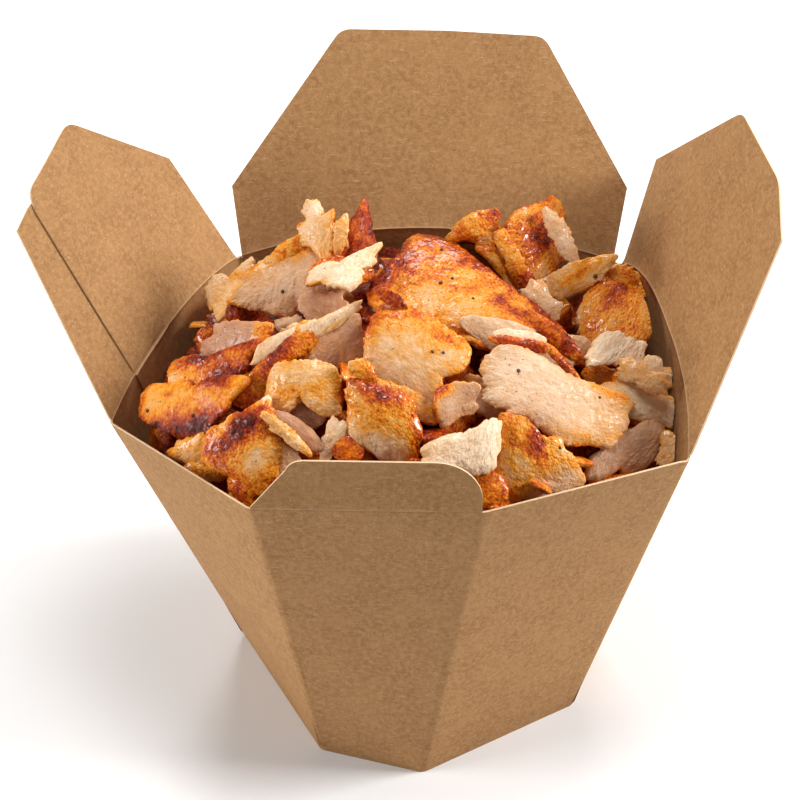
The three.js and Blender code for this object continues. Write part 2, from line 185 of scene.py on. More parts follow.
class Finish:
    """A node material with one Principled shader."""

    def __init__(self, name, **uniform):
        self.material = bpy.data.materials.new(name)
        self.material.use_nodes = True
        self.tree = self.material.node_tree
        self.shader = self.tree.nodes["Principled BSDF"]
        for socket, value in uniform.items():
            self.shader.inputs[socket.replace("_", " ")].default_value = value

    def node(self, kind, settings, sockets, output=0):
        node = self.tree.nodes.new("ShaderNode" + kind)
        for name, value in settings.items():
            if name == "stops":
                self.set_stops(node.color_ramp, value)
            else:
                setattr(node, name, value)
        for name, value in sockets.items():
            self.give(node.inputs[name], value)
        return Socket(self, node.outputs[output])

    def give(self, socket, value):
        if isinstance(value, Socket):
            self.tree.links.new(value.socket, socket)
        else:
            socket.default_value = value

    def set_stops(self, ramp, stops):
        while len(ramp.elements) < len(stops):
            ramp.elements.new(1.0)
        for element, (place, colour) in zip(ramp.elements, stops):
            element.position = place
            element.color = (*colour, 1.0)

    def attribute(self, name, output="Fac"):
        return self.node("Attribute", {"attribute_name": name}, {}, output)

    def scaled(self, vector, factors):
        return self.node("VectorMath", {"operation": "MULTIPLY"}, {0: vector, 1: factors})

    def noise(self, vector, size, detail=2.0, roughness=0.5):
        sockets = {"Vector": vector, "Scale": 1 / size, "Detail": detail, "Roughness": roughness}
        return self.node("TexNoise", {}, sockets)

    def cells(self, vector, size):
        return self.node("TexVoronoi", {}, {"Vector": vector, "Scale": 1 / size}, "Distance")

    def step(self, value, low, high):
        """0 below low and 1 above high, and smooth between; turned round if low is the larger."""
        settings = {"interpolation_type": "SMOOTHSTEP"}
        if low < high:
            return self.node("MapRange", settings, {"Value": value, 1: low, 2: high})
        return 1 - self.node("MapRange", settings, {"Value": value, 1: high, 2: low})

    def blend(self, share, first, second):
        sockets = {0: share, 6: paint(first), 7: paint(second)}
        return self.node("Mix", {"data_type": "RGBA"}, sockets, 2)

    def bump(self, height, distance, strength=1.0):
        sockets = {"Height": height, "Distance": distance, "Strength": strength}
        return self.node("Bump", {}, sockets)

    def shade(self, **sockets):
        for name, value in sockets.items():
            self.give(self.shader.inputs[name.replace("_", " ")], value)
        return self.material


def tone(red, green, blue):
    """A colour as seen, from 0 to 255, as the shader's linear light."""
    seen = (red / 255, green / 255, blue / 255)
    return tuple(c / 12.92 if c <= 0.04045 else ((c + 0.055) / 1.055) ** 2.4 for c in seen)


def paint(value):
    return value if isinstance(value, Socket) else (*value, 1.0)


SPICE = tone(70, 32, 14)
KRAFT = tone(180, 136, 88)
KRAFT_DARK = tone(150, 106, 64)
KRAFT_PALE = tone(214, 178, 138)
KRAFT_EDGE = tone(226, 196, 160)
# Sizes of the board's patterns in millimetres, and the depths of its relief in metres.
CLOUD, MOTTLE, FIBRE, FLECK, LAYER = 9.0, 1.2, 0.34, 4.0, 0.5
BOARD_RELIEF, EDGE_RELIEF = 0.00012, 0.0001


def kraft_finish():
    """Uncoated brown board: cloudy, with fine pale and dark fibres lying every way."""
    finish = Finish("kraft_board", Specular_IOR_Level=0.25)
    at = finish.attribute("rest_mm", "Vector")
    cloud = finish.noise(at, CLOUD, 3.0, 0.6)
    mottle = finish.noise(at, MOTTLE, 4.0, 0.7)
    lying = [(1, 0.12, 1), (0.12, 1, 1), (1, 1, 0.12)]
    fibres = [finish.noise(finish.scaled(at, stretch), FIBRE, 2.0) for stretch in lying]
    pale = finish.step(fibres[0], 0.6, 0.72) + finish.step(fibres[1], 0.6, 0.74)
    dark = finish.step(fibres[2], 0.58, 0.72)
    base = finish.blend(finish.step(mottle, 0.3, 0.7), KRAFT_DARK, KRAFT)
    base = finish.blend(finish.step(cloud, 0.35, 0.65) * 0.4, base, KRAFT)
    base = finish.blend(pale * 0.4, base, KRAFT_PALE)
    base = finish.blend(dark * 0.4, base, KRAFT_DARK)
    flecks = finish.step(finish.cells(at, FLECK), 0.05, 0.03)
    base = finish.blend(flecks * 0.6, base, SPICE)
    # Paler along each crease: a painted highlight along the score line, over the bead that skins()
    # presses in.
    crease = finish.attribute("crease")
    base = finish.blend(crease * 0.55, base, KRAFT_PALE)
    height = mottle * 0.6 + fibres[0] * 0.4
    return finish.shade(
        Base_Color=base,
        Roughness=0.72 + 0.2 * mottle,
        Normal=finish.bump(height, BOARD_RELIEF, 0.5),
    )


def cut_board_finish():
    """The pale grey-brown core that a knife lays bare along the board's edges."""
    finish = Finish("cut_board_edge", Specular_IOR_Level=0.2)
    at = finish.attribute("rest_mm", "Vector")
    layers = finish.noise(finish.scaled(at, (0.4, 0.4, 4)), LAYER, 2.0)
    base = finish.blend(layers, KRAFT_PALE, KRAFT_EDGE)
    relief = finish.bump(layers, EDGE_RELIEF, 0.6)
    return finish.shade(Base_Color=base, Roughness=0.85, Normal=relief)


ROAST = [
    (0.00, tone(250, 224, 194)),
    (0.12, tone(244, 202, 156)),
    (0.24, tone(234, 172, 98)),
    (0.36, tone(238, 152, 32)),
    (0.48, tone(216, 108, 12)),
    (0.60, tone(172, 58, 8)),
    (0.74, tone(104, 24, 6)),
    (0.88, tone(62, 16, 6)),
    (1.00, tone(30, 10, 6)),
]
MAUVE = tone(186, 128, 98)
DARK_FIBRE = tone(214, 156, 112)
PALE_FIBRE = tone(252, 230, 206)
# Sizes of the meat's patterns in millimetres, and the depth of its relief in metres.
MEAT_PATCH, MEAT_MOTTLE, MEAT_FINE, MEAT_FIBRE, CRUMB, MEAT_FLECK = 3.4, 1.1, 0.4, 0.7, 0.55, 1.5
MEAT_RELIEF = 0.0005


def roast_finish():
    """Roasted meat: pale and fibrous where it was sliced, gold to red-brown where it faced the fire."""
    finish = Finish(
        "roast_meat",
        Specular_IOR_Level=0.22,
        Subsurface_Weight=0.15,
        Subsurface_Radius=(1.0, 0.45, 0.25),
        Subsurface_Scale=0.0018,
        Coat_Roughness=0.06,
        Coat_IOR=1.6,
    )
    flat = finish.attribute("flat_mm", "Vector")
    brown = finish.attribute("brown")
    mauve = finish.attribute("mauve")
    grain = finish.attribute("grain")
    patches = finish.noise(flat, MEAT_PATCH, 3.0, 0.6)
    mottle = finish.noise(flat, MEAT_MOTTLE, 3.0, 0.65)
    fine = finish.noise(flat, MEAT_FINE, 2.0, 0.6)
    fibres = finish.noise(finish.scaled(flat, (0.22, 1.6, 1)), MEAT_FIBRE, 3.0, 0.6)
    crumb = finish.cells(flat, CRUMB)
    roasted = finish.step(brown, 0.12, 0.4)
    # The crumb term paints light into the colour: paler at the middle of each bead as a painted
    # highlight, browner where beads meet as painted shade.
    uneven = 0.3 * (patches - 0.5) + 0.45 * (mottle - 0.5) + (0.05 + 0.18 * grain) * (crumb - 0.4)
    browning_with_bead_light = brown + uneven * (0.4 + 0.6 * roasted)
    base = finish.node("ValToRGB", {"stops": ROAST}, {"Fac": browning_with_bead_light})
    pale = finish.step(browning_with_bead_light, 0.4, 0.2)
    base = finish.blend(pale * mauve * (0.4 + 0.9 * patches), base, MAUVE)
    base = finish.blend(pale * finish.step(fibres, 0.48, 0.34) * 0.3, base, DARK_FIBRE)
    base = finish.blend(pale * finish.step(fibres, 0.56, 0.7) * 0.25, base, PALE_FIBRE)
    flecks = finish.step(finish.cells(flat, MEAT_FLECK), 0.17, 0.1) * finish.step(mottle, 0.5, 0.58)
    base = finish.blend(flecks * roasted * 0.7, base, SPICE)
    beads = (1 - crumb * crumb) * (0.12 + 0.88 * grain) * (0.55 + 0.45 * roasted)
    height = 0.45 * beads + 0.35 * mottle + 0.15 * fibres * (1 - grain) + 0.3 * fine
    wet = finish.step(patches, 0.38, 0.6)
    return finish.shade(
        Base_Color=base,
        Roughness=0.55 - 0.12 * roasted + 0.2 * (mottle - 0.5),
        Coat_Weight=wet * (0.04 + 0.7 * grain * beads),
        Normal=finish.bump(height, MEAT_RELIEF, 0.9),
    )


# The size of a wrinkle on the pepper and the depth of its relief, in metres.
WRINKLE = 0.0003
HUSK_RELIEF = 0.0001


def pepper_finish():
    """Black pepper: wrinkled husk, with painted shade in the folds and a painted brown highlight on the
    ridges.
    """
    finish = Finish("ground_pepper", Specular_IOR_Level=0.5)
    at = finish.node("TexCoord", {}, {}, "Object")
    husk = finish.noise(at, WRINKLE, 2.0)
    # Brown on the ridges is a painted highlight, and the dark in the folds is painted shade.
    base = finish.blend(husk, tone(44, 26, 18), tone(104, 74, 50))
    relief = finish.bump(husk, HUSK_RELIEF)
    return finish.shade(Base_Color=base, Roughness=0.35 + 0.3 * husk, Normal=relief)


kraft = kraft_finish()
cut_board = cut_board_finish()
roast = roast_finish()
pepper = pepper_finish()


# ---- meshes ----
SHARP_FROM = 40


def add_object(name, data):
    """A new object in the scene."""
    item = bpy.data.objects.new(name, data)
    bpy.context.scene.collection.objects.link(item)
    return item


def add_piece(name, points, faces, materials, on_face=None, carries=None):
    """A smooth-shaded mesh in metres, whose points carry named values or vectors."""
    mesh = bpy.data.meshes.new(name)
    mesh.from_pydata(np.asarray(points).tolist(), [], [list(map(int, face)) for face in faces])
    for material in materials:
        mesh.materials.append(material)
    if on_face is not None:
        mesh.polygons.foreach_set("material_index", np.asarray(on_face, np.int32))
    for label, values in (carries or {}).items():
        values = np.asarray(values, np.float32)
        kind, field = ("FLOAT_VECTOR", "vector") if values.ndim == 2 else ("FLOAT", "value")
        mesh.attributes.new(label, kind, "POINT").data.foreach_set(field, values.ravel())
    mesh.shade_smooth()
    mesh.set_sharp_from_angle(angle=math.radians(SHARP_FROM))
    return add_object(name, mesh)


def wrapped_board(grid, cells):
    """Faces of a board between two skins over a grid, with cut faces along every free edge.

    Gives the faces, and 1 for each that is a cut face."""
    count = grid[0] * grid[1]
    index = np.arange(count).reshape(grid)
    a, b, c, d = grid_corners(index)
    front = np.stack([a, b, c, d], -1)[cells]
    back = np.stack([d, c, b, a], -1)[cells] + count
    filled = np.pad(cells, 1)
    cut = []
    for start, end, beside in (
        (a, b, filled[1:-1, :-2]),
        (b, c, filled[2:, 1:-1]),
        (c, d, filled[1:-1, 2:]),
        (d, a, filled[:-2, 1:-1]),
    ):
        free = cells & ~beside
        s, e = start[free], end[free]
        cut.append(np.stack([e, s, s + count, e + count], -1))
    cut = np.concatenate(cut)
    return np.concatenate([front, back, cut]), np.repeat([0, 1], [len(front) + len(back), len(cut)])


def put_in_carton(piece, slot, *nodes):
    """Lets a piece ride on the carton, in place of the CAD nodes that are named."""
    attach(piece, "carton_body")
    if nodes:
        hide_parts(*nodes)


def tidy_points(points, faces, *values):
    """Drops the points that no face uses."""
    used = np.unique(faces)
    place = np.full(len(points), -1)
    place[used] = np.arange(len(used))
    return (points[used], place[faces], *(value[used] for value in values))


# ---- the wall folds ----
def foot_corners():
    """The eight corners of the foot, whose long and short sides take turns."""
    corners, at = [], np.zeros(3)
    for side in range(8):
        corners.append(at.copy())
        heading = math.radians(FOOT_TURN - 45 + 45 * side)
        length = FOOT_SHORT if side % 2 else FOOT_LONG
        at = at + length * np.array([math.cos(heading), math.sin(heading), 0])
    corners = np.array(corners)
    return corners - (corners[0] + corners[4]) / 2


class LeaningPlane:
    """A plane that leans outward above the line between two mouth corners."""

    def __init__(self, start, end, lean):
        self.start = start
        self.along = unit(end - start)
        self.length = np.linalg.norm(end - start)
        out = unit(np.cross(self.along, UP))
        up = unit(np.cross(out, self.along))
        self.slope = up * math.cos(math.radians(lean)) + out * math.sin(math.radians(lean))

    def at(self, x, h):
        x, h = np.asarray(x)[..., None], np.asarray(h)[..., None]
        return self.start + x * self.along + h * self.slope


class Crease:
    """A scored arc between two mouth corners, from 0 at its first end to 1 at its last."""

    def __init__(self, start, end, rise, power, lean):
        self.plane = LeaningPlane(start, end, lean)
        self.rise, self.power = rise, power

    def __call__(self, s):
        height = self.rise * (1 - np.abs(2 * np.asarray(s) - 1) ** self.power)
        return self.plane.at(self.plane.length * np.asarray(s), height)

    def chord(self, s):
        return self.plane.at(self.plane.length * np.asarray(s), 0 * np.asarray(s))


foot = foot_corners()
right_crease = Crease(MOUTH["front_right"], MOUTH["back_right"], 9.5, 2.8, 18)
back_crease = Crease(MOUTH["back_right"], MOUTH["back_left"], 8.5, 2, 16)
left_crease = Crease(MOUTH["back_left"], MOUTH["front_left"], 4.5, 2.4, 16)


def straight(first, last):
    return lambda s: mix(MOUTH[first], MOUTH[last], np.asarray(s)[..., None])


FOLD_RADIUS = 1.1
FOLD_STEPS = np.linspace(0, 1, 7)
# How far below a flap's crease the carton's own wall ends.
CREASE_DROP = 1.2
# Shares of the left wall where its second board starts, is whole, and ends in a cut edge.
LAP = (0.5, 0.6, 0.785)
SEAM_STEP = 0.003


class Side:
    """One or three walls under one stretch of the mouth, each standing on a side of the foot."""

    def __init__(self, first_wall, walls, top, chord=None):
        self.first_wall, self.walls, self.top = first_wall, walls, top
        self.chord = chord or top

    def foot_at(self, s):
        place = np.clip(np.asarray(s, float) * self.walls, 0, self.walls)
        wall = np.minimum(place.astype(int), self.walls - 1)
        start = foot[(self.first_wall + wall) % 8]
        end = foot[(self.first_wall + wall + 1) % 8]
        return mix(start, end, (place - wall)[..., None])

    def folds(self):
        return [k / self.walls for k in range(1, self.walls)]


SIDES = {
    "front_left": Side(0, 1, straight("front_left", "tab_left")),
    "tab": Side(1, 1, straight("tab_left", "tab_right")),
    "front_right": Side(2, 1, straight("tab_right", "front_right")),
    "right": Side(3, 1, right_crease, right_crease.chord),
    "back": Side(4, 3, back_crease, back_crease.chord),
    "left": Side(7, 1, left_crease, left_crease.chord),
}


def softened(side, s):
    """The foot and top ends of a wall's straight lines, with the folds inside a side rounded."""
    low, high = side.foot_at(s), side.top(s)
    for fold in side.folds():
        for ends, curve in ((low, side.foot_at), (high, side.top)):
            run = np.linalg.norm(curve(fold + 1e-3) - curve(fold)) / 1e-3
            reach = FOLD_RADIUS / run
            near = np.abs(s - fold) < reach
            t = ((s[near] - fold) / reach + 1)[:, None] / 2
            before, at, after = curve(fold - reach), curve(fold), curve(fold + reach)
            ends[near] = rounding(before, at, after, t)
    return low, high


def layers_at(name, s):
    """How many boards thick a wall is: the left wall's glued seam is doubled."""
    if name != "left":
        return np.ones_like(s)
    lapped = np.interp(s, [0, LAP[0], LAP[1], LAP[2]], [1, 1, 2, 2])
    return np.where(s > LAP[2] + SEAM_STEP / 2, 1.0, lapped)


# ---- flap outlines: along the crease from its first end, and up the leaning flap ----
FLAPS = {
    "back_flap": {
        "side": "back", "lean": 36, "crease": (0.02, 0.985),
        "outline": [(-1, 18), (20, 54), (43, 55), (69, 55), (95, 17)],
    },
    "right_flap": {
        "side": "right", "lean": 26, "crease": (0.01, 0.975),
        "outline": [(20, 47), (34, 53), (63, 52), (85, 23)],
    },
    "left_flap": {
        "side": "left", "lean": 36, "crease": (0.01, 0.785),
        "outline": [(-2, 29), (16, 53), (38, 49), (40, 45)],
    },
}
SEAM_STRIP = {
    "side": "left", "lean": 36, "crease": (0.62, 0.99),
    "outline": [(28, 44), (39, 47), (47, 45)],
}
FLAP_CORNER = 2.5
# The tab: how far its ends are from its wall's, its height, its lean, its slanted left end as points
# along and up, the radius of its right end, and the share of its wall where its slit starts.
TAB_SPAN = (0.5, 0.5)
TAB_HEIGHT = 13.2
TAB_LEAN_IN = 6
TAB_LEFT = [(0.5, 0.6), (8.2, 10.6), (9.2, 13.2), (12.2, 13.2)]
TAB_RIGHT_ROUND = 10
TAB_SLIT_FROM = 0.8
# How finely outlines and walls are divided. A hair is the share of a wall between two lines that
# stand on either side of a cut.
TAB_STEPS = {"bevel": 8, "corner": 7, "top": 30, "round": 16}
CORNER_STEPS = 6
OUTLINE_STEP = 1.6
NEAR_FOLD = np.linspace(-0.04, 0.04, 9)
HAIR = 1e-3
SIDE_LINES = 40
TAB_LINES = 60
LEFT_END_LINES = 24
END_LINES = 4
OPEN_RIM_DROP = 0.3
WALL_ROWS = 26


def rounded_path(path, radius, steps):
    """A path whose corners are rounded off."""
    points = [path[0]]
    for before, corner, after in zip(path, path[1:], path[2:]):
        back = corner + unit(before - corner) * radius
        on = corner + unit(after - corner) * radius
        for t in np.linspace(0, 1, steps + 1):
            points.append(rounding(back, corner, on, t))
    points.append(path[-1])
    return np.array(points)


def path_lengths(path):
    """How far along a path each of its points is."""
    steps = np.linalg.norm(np.diff(path, axis=0), axis=1)
    return np.concatenate([[0], np.cumsum(steps)])


def places_along(path, marks):
    """Points at these distances along a path."""
    run = path_lengths(path)
    return np.stack([np.interp(marks, run, path[:, a]) for a in range(3)], -1)


def evened(path, longest):
    """A path with points added, so that no step is longer than the longest."""
    run = path_lengths(path)
    marks = [run[:1]]
    for start, end in zip(run, run[1:]):
        count = max(1, math.ceil((end - start) / longest))
        marks.append(np.linspace(start, end, count + 1)[1:])
    return places_along(path, np.concatenate(marks))


def flap_columns(flap):
    """Where a flap's lines stand on its crease, and where they end on its outline."""
    side = SIDES[flap["side"]]
    plane = LeaningPlane(side.top(0.0), side.top(1.0), flap["lean"])
    corners = plane.at(*np.array(flap["outline"], float).T)
    path = evened(rounded_path(corners, FLAP_CORNER, CORNER_STEPS), OUTLINE_STEP)
    run = path_lengths(path)
    start, end = flap["crease"]
    stations = start + (end - start) * run / run[-1]
    extra = [fold + apart for fold in side.folds() for apart in NEAR_FOLD]
    if flap is SEAM_STRIP:
        extra = [LAP[2], LAP[2] + SEAM_STEP]
    stations = np.unique(np.concatenate([stations, extra]))
    stations = stations[np.concatenate([[True], np.diff(stations) > HAIR / 10])]
    marks = (stations - start) / (end - start) * run[-1]
    return stations, places_along(path, marks)


COLUMNS = {name: flap_columns(flap) for name, flap in FLAPS.items()}


# ---- walls and floor ----
def column_stations(name):
    """Where a side's lines stand, and the height its carton wall keeps there as a share."""
    if name in ("front_left", "front_right"):
        s = np.linspace(0, 1, SIDE_LINES)
        return s, np.ones_like(s)
    if name == "tab":
        length = np.linalg.norm(MOUTH["tab_right"] - MOUTH["tab_left"])
        s = np.linspace(0, 1, TAB_LINES)
        start = TAB_SPAN[0] / length
        s = np.sort(np.concatenate([s, [start, start + HAIR, TAB_SLIT_FROM, TAB_SLIT_FROM + HAIR]]))
        joined = (s > start + HAIR / 2) & (s < TAB_SLIT_FROM + HAIR / 2)
        return s, np.where(joined, 1 - CREASE_DROP / MOUTH["tab_left"][2], 1.0)
    side = SIDES[name]
    start, end = next(f["crease"] for f in FLAPS.values() if f["side"] == name)
    joined_to = SEAM_STRIP["crease"][1] if name == "left" else end
    stations = next(COLUMNS[n][0] for n, f in FLAPS.items() if f["side"] == name)
    rest = np.linspace(end + HAIR, 1, LEFT_END_LINES if name == "left" else END_LINES)
    s = np.concatenate([[0, start - HAIR], stations, rest])
    if name == "left":
        s = np.sort(np.concatenate([s, [LAP[2] + SEAM_STEP]]))
    level = (side.chord(s)[:, 2] - CREASE_DROP) / side.top(s)[:, 2]
    flapped = (s > start - HAIR / 2) & (s < joined_to + HAIR / 2)
    return s, np.where(flapped, level, 1 - OPEN_RIM_DROP / side.top(s)[:, 2])


def carton_columns():
    """The straight lines of the walls all the way round, with fold corners rounded."""
    low, high, share, layers = [], [], [], []
    for name, side in SIDES.items():
        s, keep = column_stations(name)
        lows, highs = softened(side, s)
        low.append(lows)
        high.append(highs)
        share.append(keep)
        layers.append(layers_at(name, s))
    rounded = [[], [], [], []]
    count = len(low)
    for k in range(count):
        before = (k - 1) % count
        for values, out in ((low, rounded[0]), (high, rounded[1])):
            here, back = values[k], values[before]
            corner = here[0]
            reach = min(FOLD_RADIUS, path_lengths(here)[-1] / 3)
            ahead, behind = places_along(here, reach), places_along(back[::-1], reach)
            out.append(rounding(behind, corner, ahead, FOLD_STEPS[:, None]))
        inside = path_lengths(high[k])
        inside = (inside > FOLD_RADIUS * 1.2) & (inside < inside[-1] - FOLD_RADIUS * 1.2)
        rounded[2].append(np.full(len(FOLD_STEPS), 1.0) * min(share[k][0], 1))
        rounded[3].append(np.interp(FOLD_STEPS, [0, 1], [layers[before][-1], layers[k][0]]))
        for values, out in zip((low, high, share, layers), rounded):
            out.append(values[k][inside])
    return [np.concatenate(part) for part in rounded]


def inward(points):
    """Level unit steps into a closed loop of points, drawn out at the folds."""
    before = unit((points - np.roll(points, 1, 0)) * (1, 1, 0))
    after = unit((np.roll(points, -1, 0) - points) * (1, 1, 0))
    both = before + after
    step = unit(np.stack([-both[:, 1], both[:, 0], 0 * both[:, 0]], 1))
    mitre = 1 / np.sqrt(np.clip((1 + (before * after).sum(1)) / 2, 0.2, 1))
    return step * mitre[:, None]


def carton_board():
    low, high, share, layers = carton_columns()
    rows = WALL_ROWS
    outside = [mix(low, high, (share * r / rows)[:, None]) for r in range(rows + 1)]
    floor_level = FLOOR / high[:, 2]
    inside = []
    for r in range(rows + 1):
        level = mix(floor_level, share, r / rows)
        points = mix(low, high, level[:, None])
        inside.append(points + inward(points) * (BOARD * layers)[:, None])
    count = len(low)
    points = np.concatenate(outside + inside + [np.array([[0, 0, 0.0], [0, 0, FLOOR]])])
    first_inside = (rows + 1) * count
    faces = []
    for r in range(rows):
        below, above = r * count, (r + 1) * count
        faces += ring_quads(below, above, count)
        faces += ring_quads(first_inside + above, first_inside + below, count)
    rim = ring_quads(rows * count, first_inside + rows * count, count)
    bottom, floor = len(points) - 2, len(points) - 1
    ground = [[ahead, here, middle] for here, ahead, middle in ring_cap(0, bottom, count)]
    deck = ring_cap(first_inside, floor, count)
    on_face = [0] * len(faces) + [1] * len(rim) + [0] * (len(ground) + len(deck))
    carries = {"rest_mm": points, "crease": np.zeros(len(points))}
    faces += rim + ground + deck
    piece = add_piece("carton_board", metres(points), faces, [kraft, cut_board], on_face, carries)
    put_in_carton(piece, "kraft", "carton")


# ---- flaps and tab, each with the strip of wall below its crease ----
STRIP_ROWS = np.array([0, 0.35, 0.65, 0.85])
NEAR_CREASE = np.array([0.0, 0.12, 0.24, 0.45, 0.8])
FLAP_ROWS = 14
STRIP_TOP_DROP = 0.4
# How deep a crease is pressed in, and how wide on each side.
BEAD = 0.12
BEAD_WIDTH = 0.24
# The lean of the plane along which hinge_zone places its points.
HINGE_LEAN = 17


def skins(name, s, far, shift=0.0):
    """Outer and inner skins over a strip of wall, the crease and the flap above it."""
    side = SIDES[name]
    low, high = softened(side, s)
    # The second half only closes the loop on the side that is in.
    closed = np.concatenate([high, high[::-1] * 0.2])
    step = inward(closed)[: len(high)]
    step[0], step[-1] = step[1], step[-2]
    start = (side.chord(s)[:, 2] - CREASE_DROP) / high[:, 2]
    thick = (BOARD * layers_at(name, s))[:, None]
    outer, inner, crease = [], [], []
    length = np.linalg.norm(high - low, axis=1)
    for share in STRIP_ROWS:
        level = mix(start, 1 - STRIP_TOP_DROP / length, share)
        points = mix(low, high, level[:, None])
        outer.append(points)
        inner.append(points + step * thick)
        crease.append(0.0)
    for drop, mark in ((BEAD_WIDTH, 0.0), (BEAD_WIDTH / 2, 0.6)):
        points = mix(low, high, (1 - drop / length)[:, None])
        outer.append(points + step * BEAD * mark)
        inner.append(points + step * (thick + BEAD * mark))
        crease.append(mark)
    rise = far - high
    reach = np.linalg.norm(rise, axis=1)
    direction = rise / reach[:, None]
    along = np.gradient(high, axis=0)
    normal = unit(np.cross(unit(np.gradient(far, axis=0)) + unit(along), direction))
    for k, gap in enumerate([*NEAR_CREASE, *range(1, FLAP_ROWS + 1)]):
        if k < len(NEAR_CREASE):
            distance = np.minimum(gap, reach / 2)
            settled = min(1.0, gap / NEAR_CREASE[-1])
        else:
            distance = mix(np.minimum(NEAR_CREASE[-1], reach / 2), reach, gap / FLAP_ROWS)
            settled = 1.0
        points = high + direction * distance[:, None]
        mark = max(0.0, 1 - gap / BEAD_WIDTH) if k < len(NEAR_CREASE) else 0.0
        outward = unit(mix(-step, normal, settled))
        centre = mix(0.0, BOARD / 2, settled)
        centre = (centre + shift * settled)[:, None]
        outer.append(points + outward * (centre - BEAD * mark))
        inner.append(points + outward * (centre - BOARD - BEAD * mark))
        crease.append(mark)
    return np.stack(outer, 1), np.stack(inner, 1), np.array(crease)


def board_piece(name, node, body, outer, inner, crease, cells, start, end):
    faces, on_face = wrapped_board(outer.shape[:2], cells)
    points = np.concatenate([outer.reshape(-1, 3), inner.reshape(-1, 3)])
    marks = np.tile(np.broadcast_to(crease, outer.shape[:2]).ravel(), 2)
    points, faces, marks = tidy_points(points, faces, marks)
    carries = {"rest_mm": points, "crease": marks}
    piece = add_piece(name, metres(points), faces, [kraft, cut_board], on_face, carries)
    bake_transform(piece)
    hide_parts(node)


def every_cell(points):
    """A whole grid of points, with none of its cells left out."""
    return np.ones((points.shape[0] - 1, points.shape[1] - 1), bool)


def hinge_zone(name, rise):
    """Two points at the middle of a side's crease: one down the wall below it and one up the leaning
    plane above it.
    """
    side = SIDES[name]
    ends = side.chord(np.array([0.0, 1.0]))
    plane = LeaningPlane(*ends, 0 if rise == 0 else HINGE_LEAN)
    middle = plane.at(plane.length / 2, 0.0)
    return middle - plane.slope * CREASE_DROP, middle + plane.slope * (rise + CREASE_DROP / 2)


def flap_board(node):
    name = FLAPS[node]["side"]
    s, far = COLUMNS[node]
    inset = BOARD * (1 - layers_at(name, s))
    outer, inner, crease = skins(name, s, far, inset)
    zone = hinge_zone(name, SIDES[name].top.rise)
    board_piece(node + "_board", node, node + "_body", outer, inner, crease, every_cell(outer), *zone)


def seam_strip_board():
    """The glued edge of the next wall's sheet, outside the left flap."""
    s, far = flap_columns(SEAM_STRIP)
    outer, inner, crease = skins("left", s, far, 0 * s)
    cells = every_cell(outer)
    wall_rows = len(STRIP_ROWS) + 2
    cells[s[:-1] < LAP[2] - HAIR / 20, :wall_rows] = False
    zone = hinge_zone("left", left_crease.rise)
    board_piece("seam_strip_board", "left_flap", "left_flap_body", outer, inner, crease, cells, *zone)


def tab_outline():
    """The closing tab's edge: a slanted, rounded left end and a round right end."""
    plane = LeaningPlane(MOUTH["tab_left"], MOUTH["tab_right"], -TAB_LEAN_IN)
    width = plane.length - TAB_SPAN[1]
    start, bevel, control, top = (np.array(p, float) for p in TAB_LEFT)
    points = [mix(start, bevel, t) for t in np.linspace(0, 1, TAB_STEPS["bevel"])[:-1]]
    for t in np.linspace(0, 1, TAB_STEPS["corner"])[:-1]:
        points.append(rounding(bevel, control, top, t))
    level = width - TAB_RIGHT_ROUND
    points += [np.array([x, TAB_HEIGHT]) for x in np.linspace(top[0], level, TAB_STEPS["top"])[:-1]]
    for turn in np.linspace(math.pi / 2, 0, TAB_STEPS["round"]):
        arc = np.array([math.cos(turn), math.sin(turn)]) * TAB_RIGHT_ROUND
        points.append(arc + (level, TAB_HEIGHT - TAB_RIGHT_ROUND))
    x, y = np.array(points).T
    return x / plane.length, plane.at(x, y)


def tab_board():
    s, far = tab_outline()
    outer, inner, crease = skins("tab", s, far, 0 * s)
    cells = every_cell(outer)
    cells[s[:-1] > TAB_SLIT_FROM, : len(STRIP_ROWS) + 3] = False
    zone = hinge_zone("tab", 0)
    board_piece("front_tab_board", "front_tab", "front_tab_body", outer, inner, crease, cells, *zone)


carton_board()
for flap_node in FLAPS:
    flap_board(flap_node)
seam_strip_board()
tab_board()

# ---- meat ----
# A slice is a sheet whose places run from -1 to 1 along it (u) and across it (v). At is its middle,
# turn is its turns about X, Y and Z in degrees, size is its length, width and thickness, taper is how
# much wider its far end is, skew is how far its sides slide, curl and cup are the degrees it bends
# along and across, and ragged is how deep its edge is torn, in millimetres.
Slice = namedtuple("Slice", "at turn size taper skew curl cup ragged")

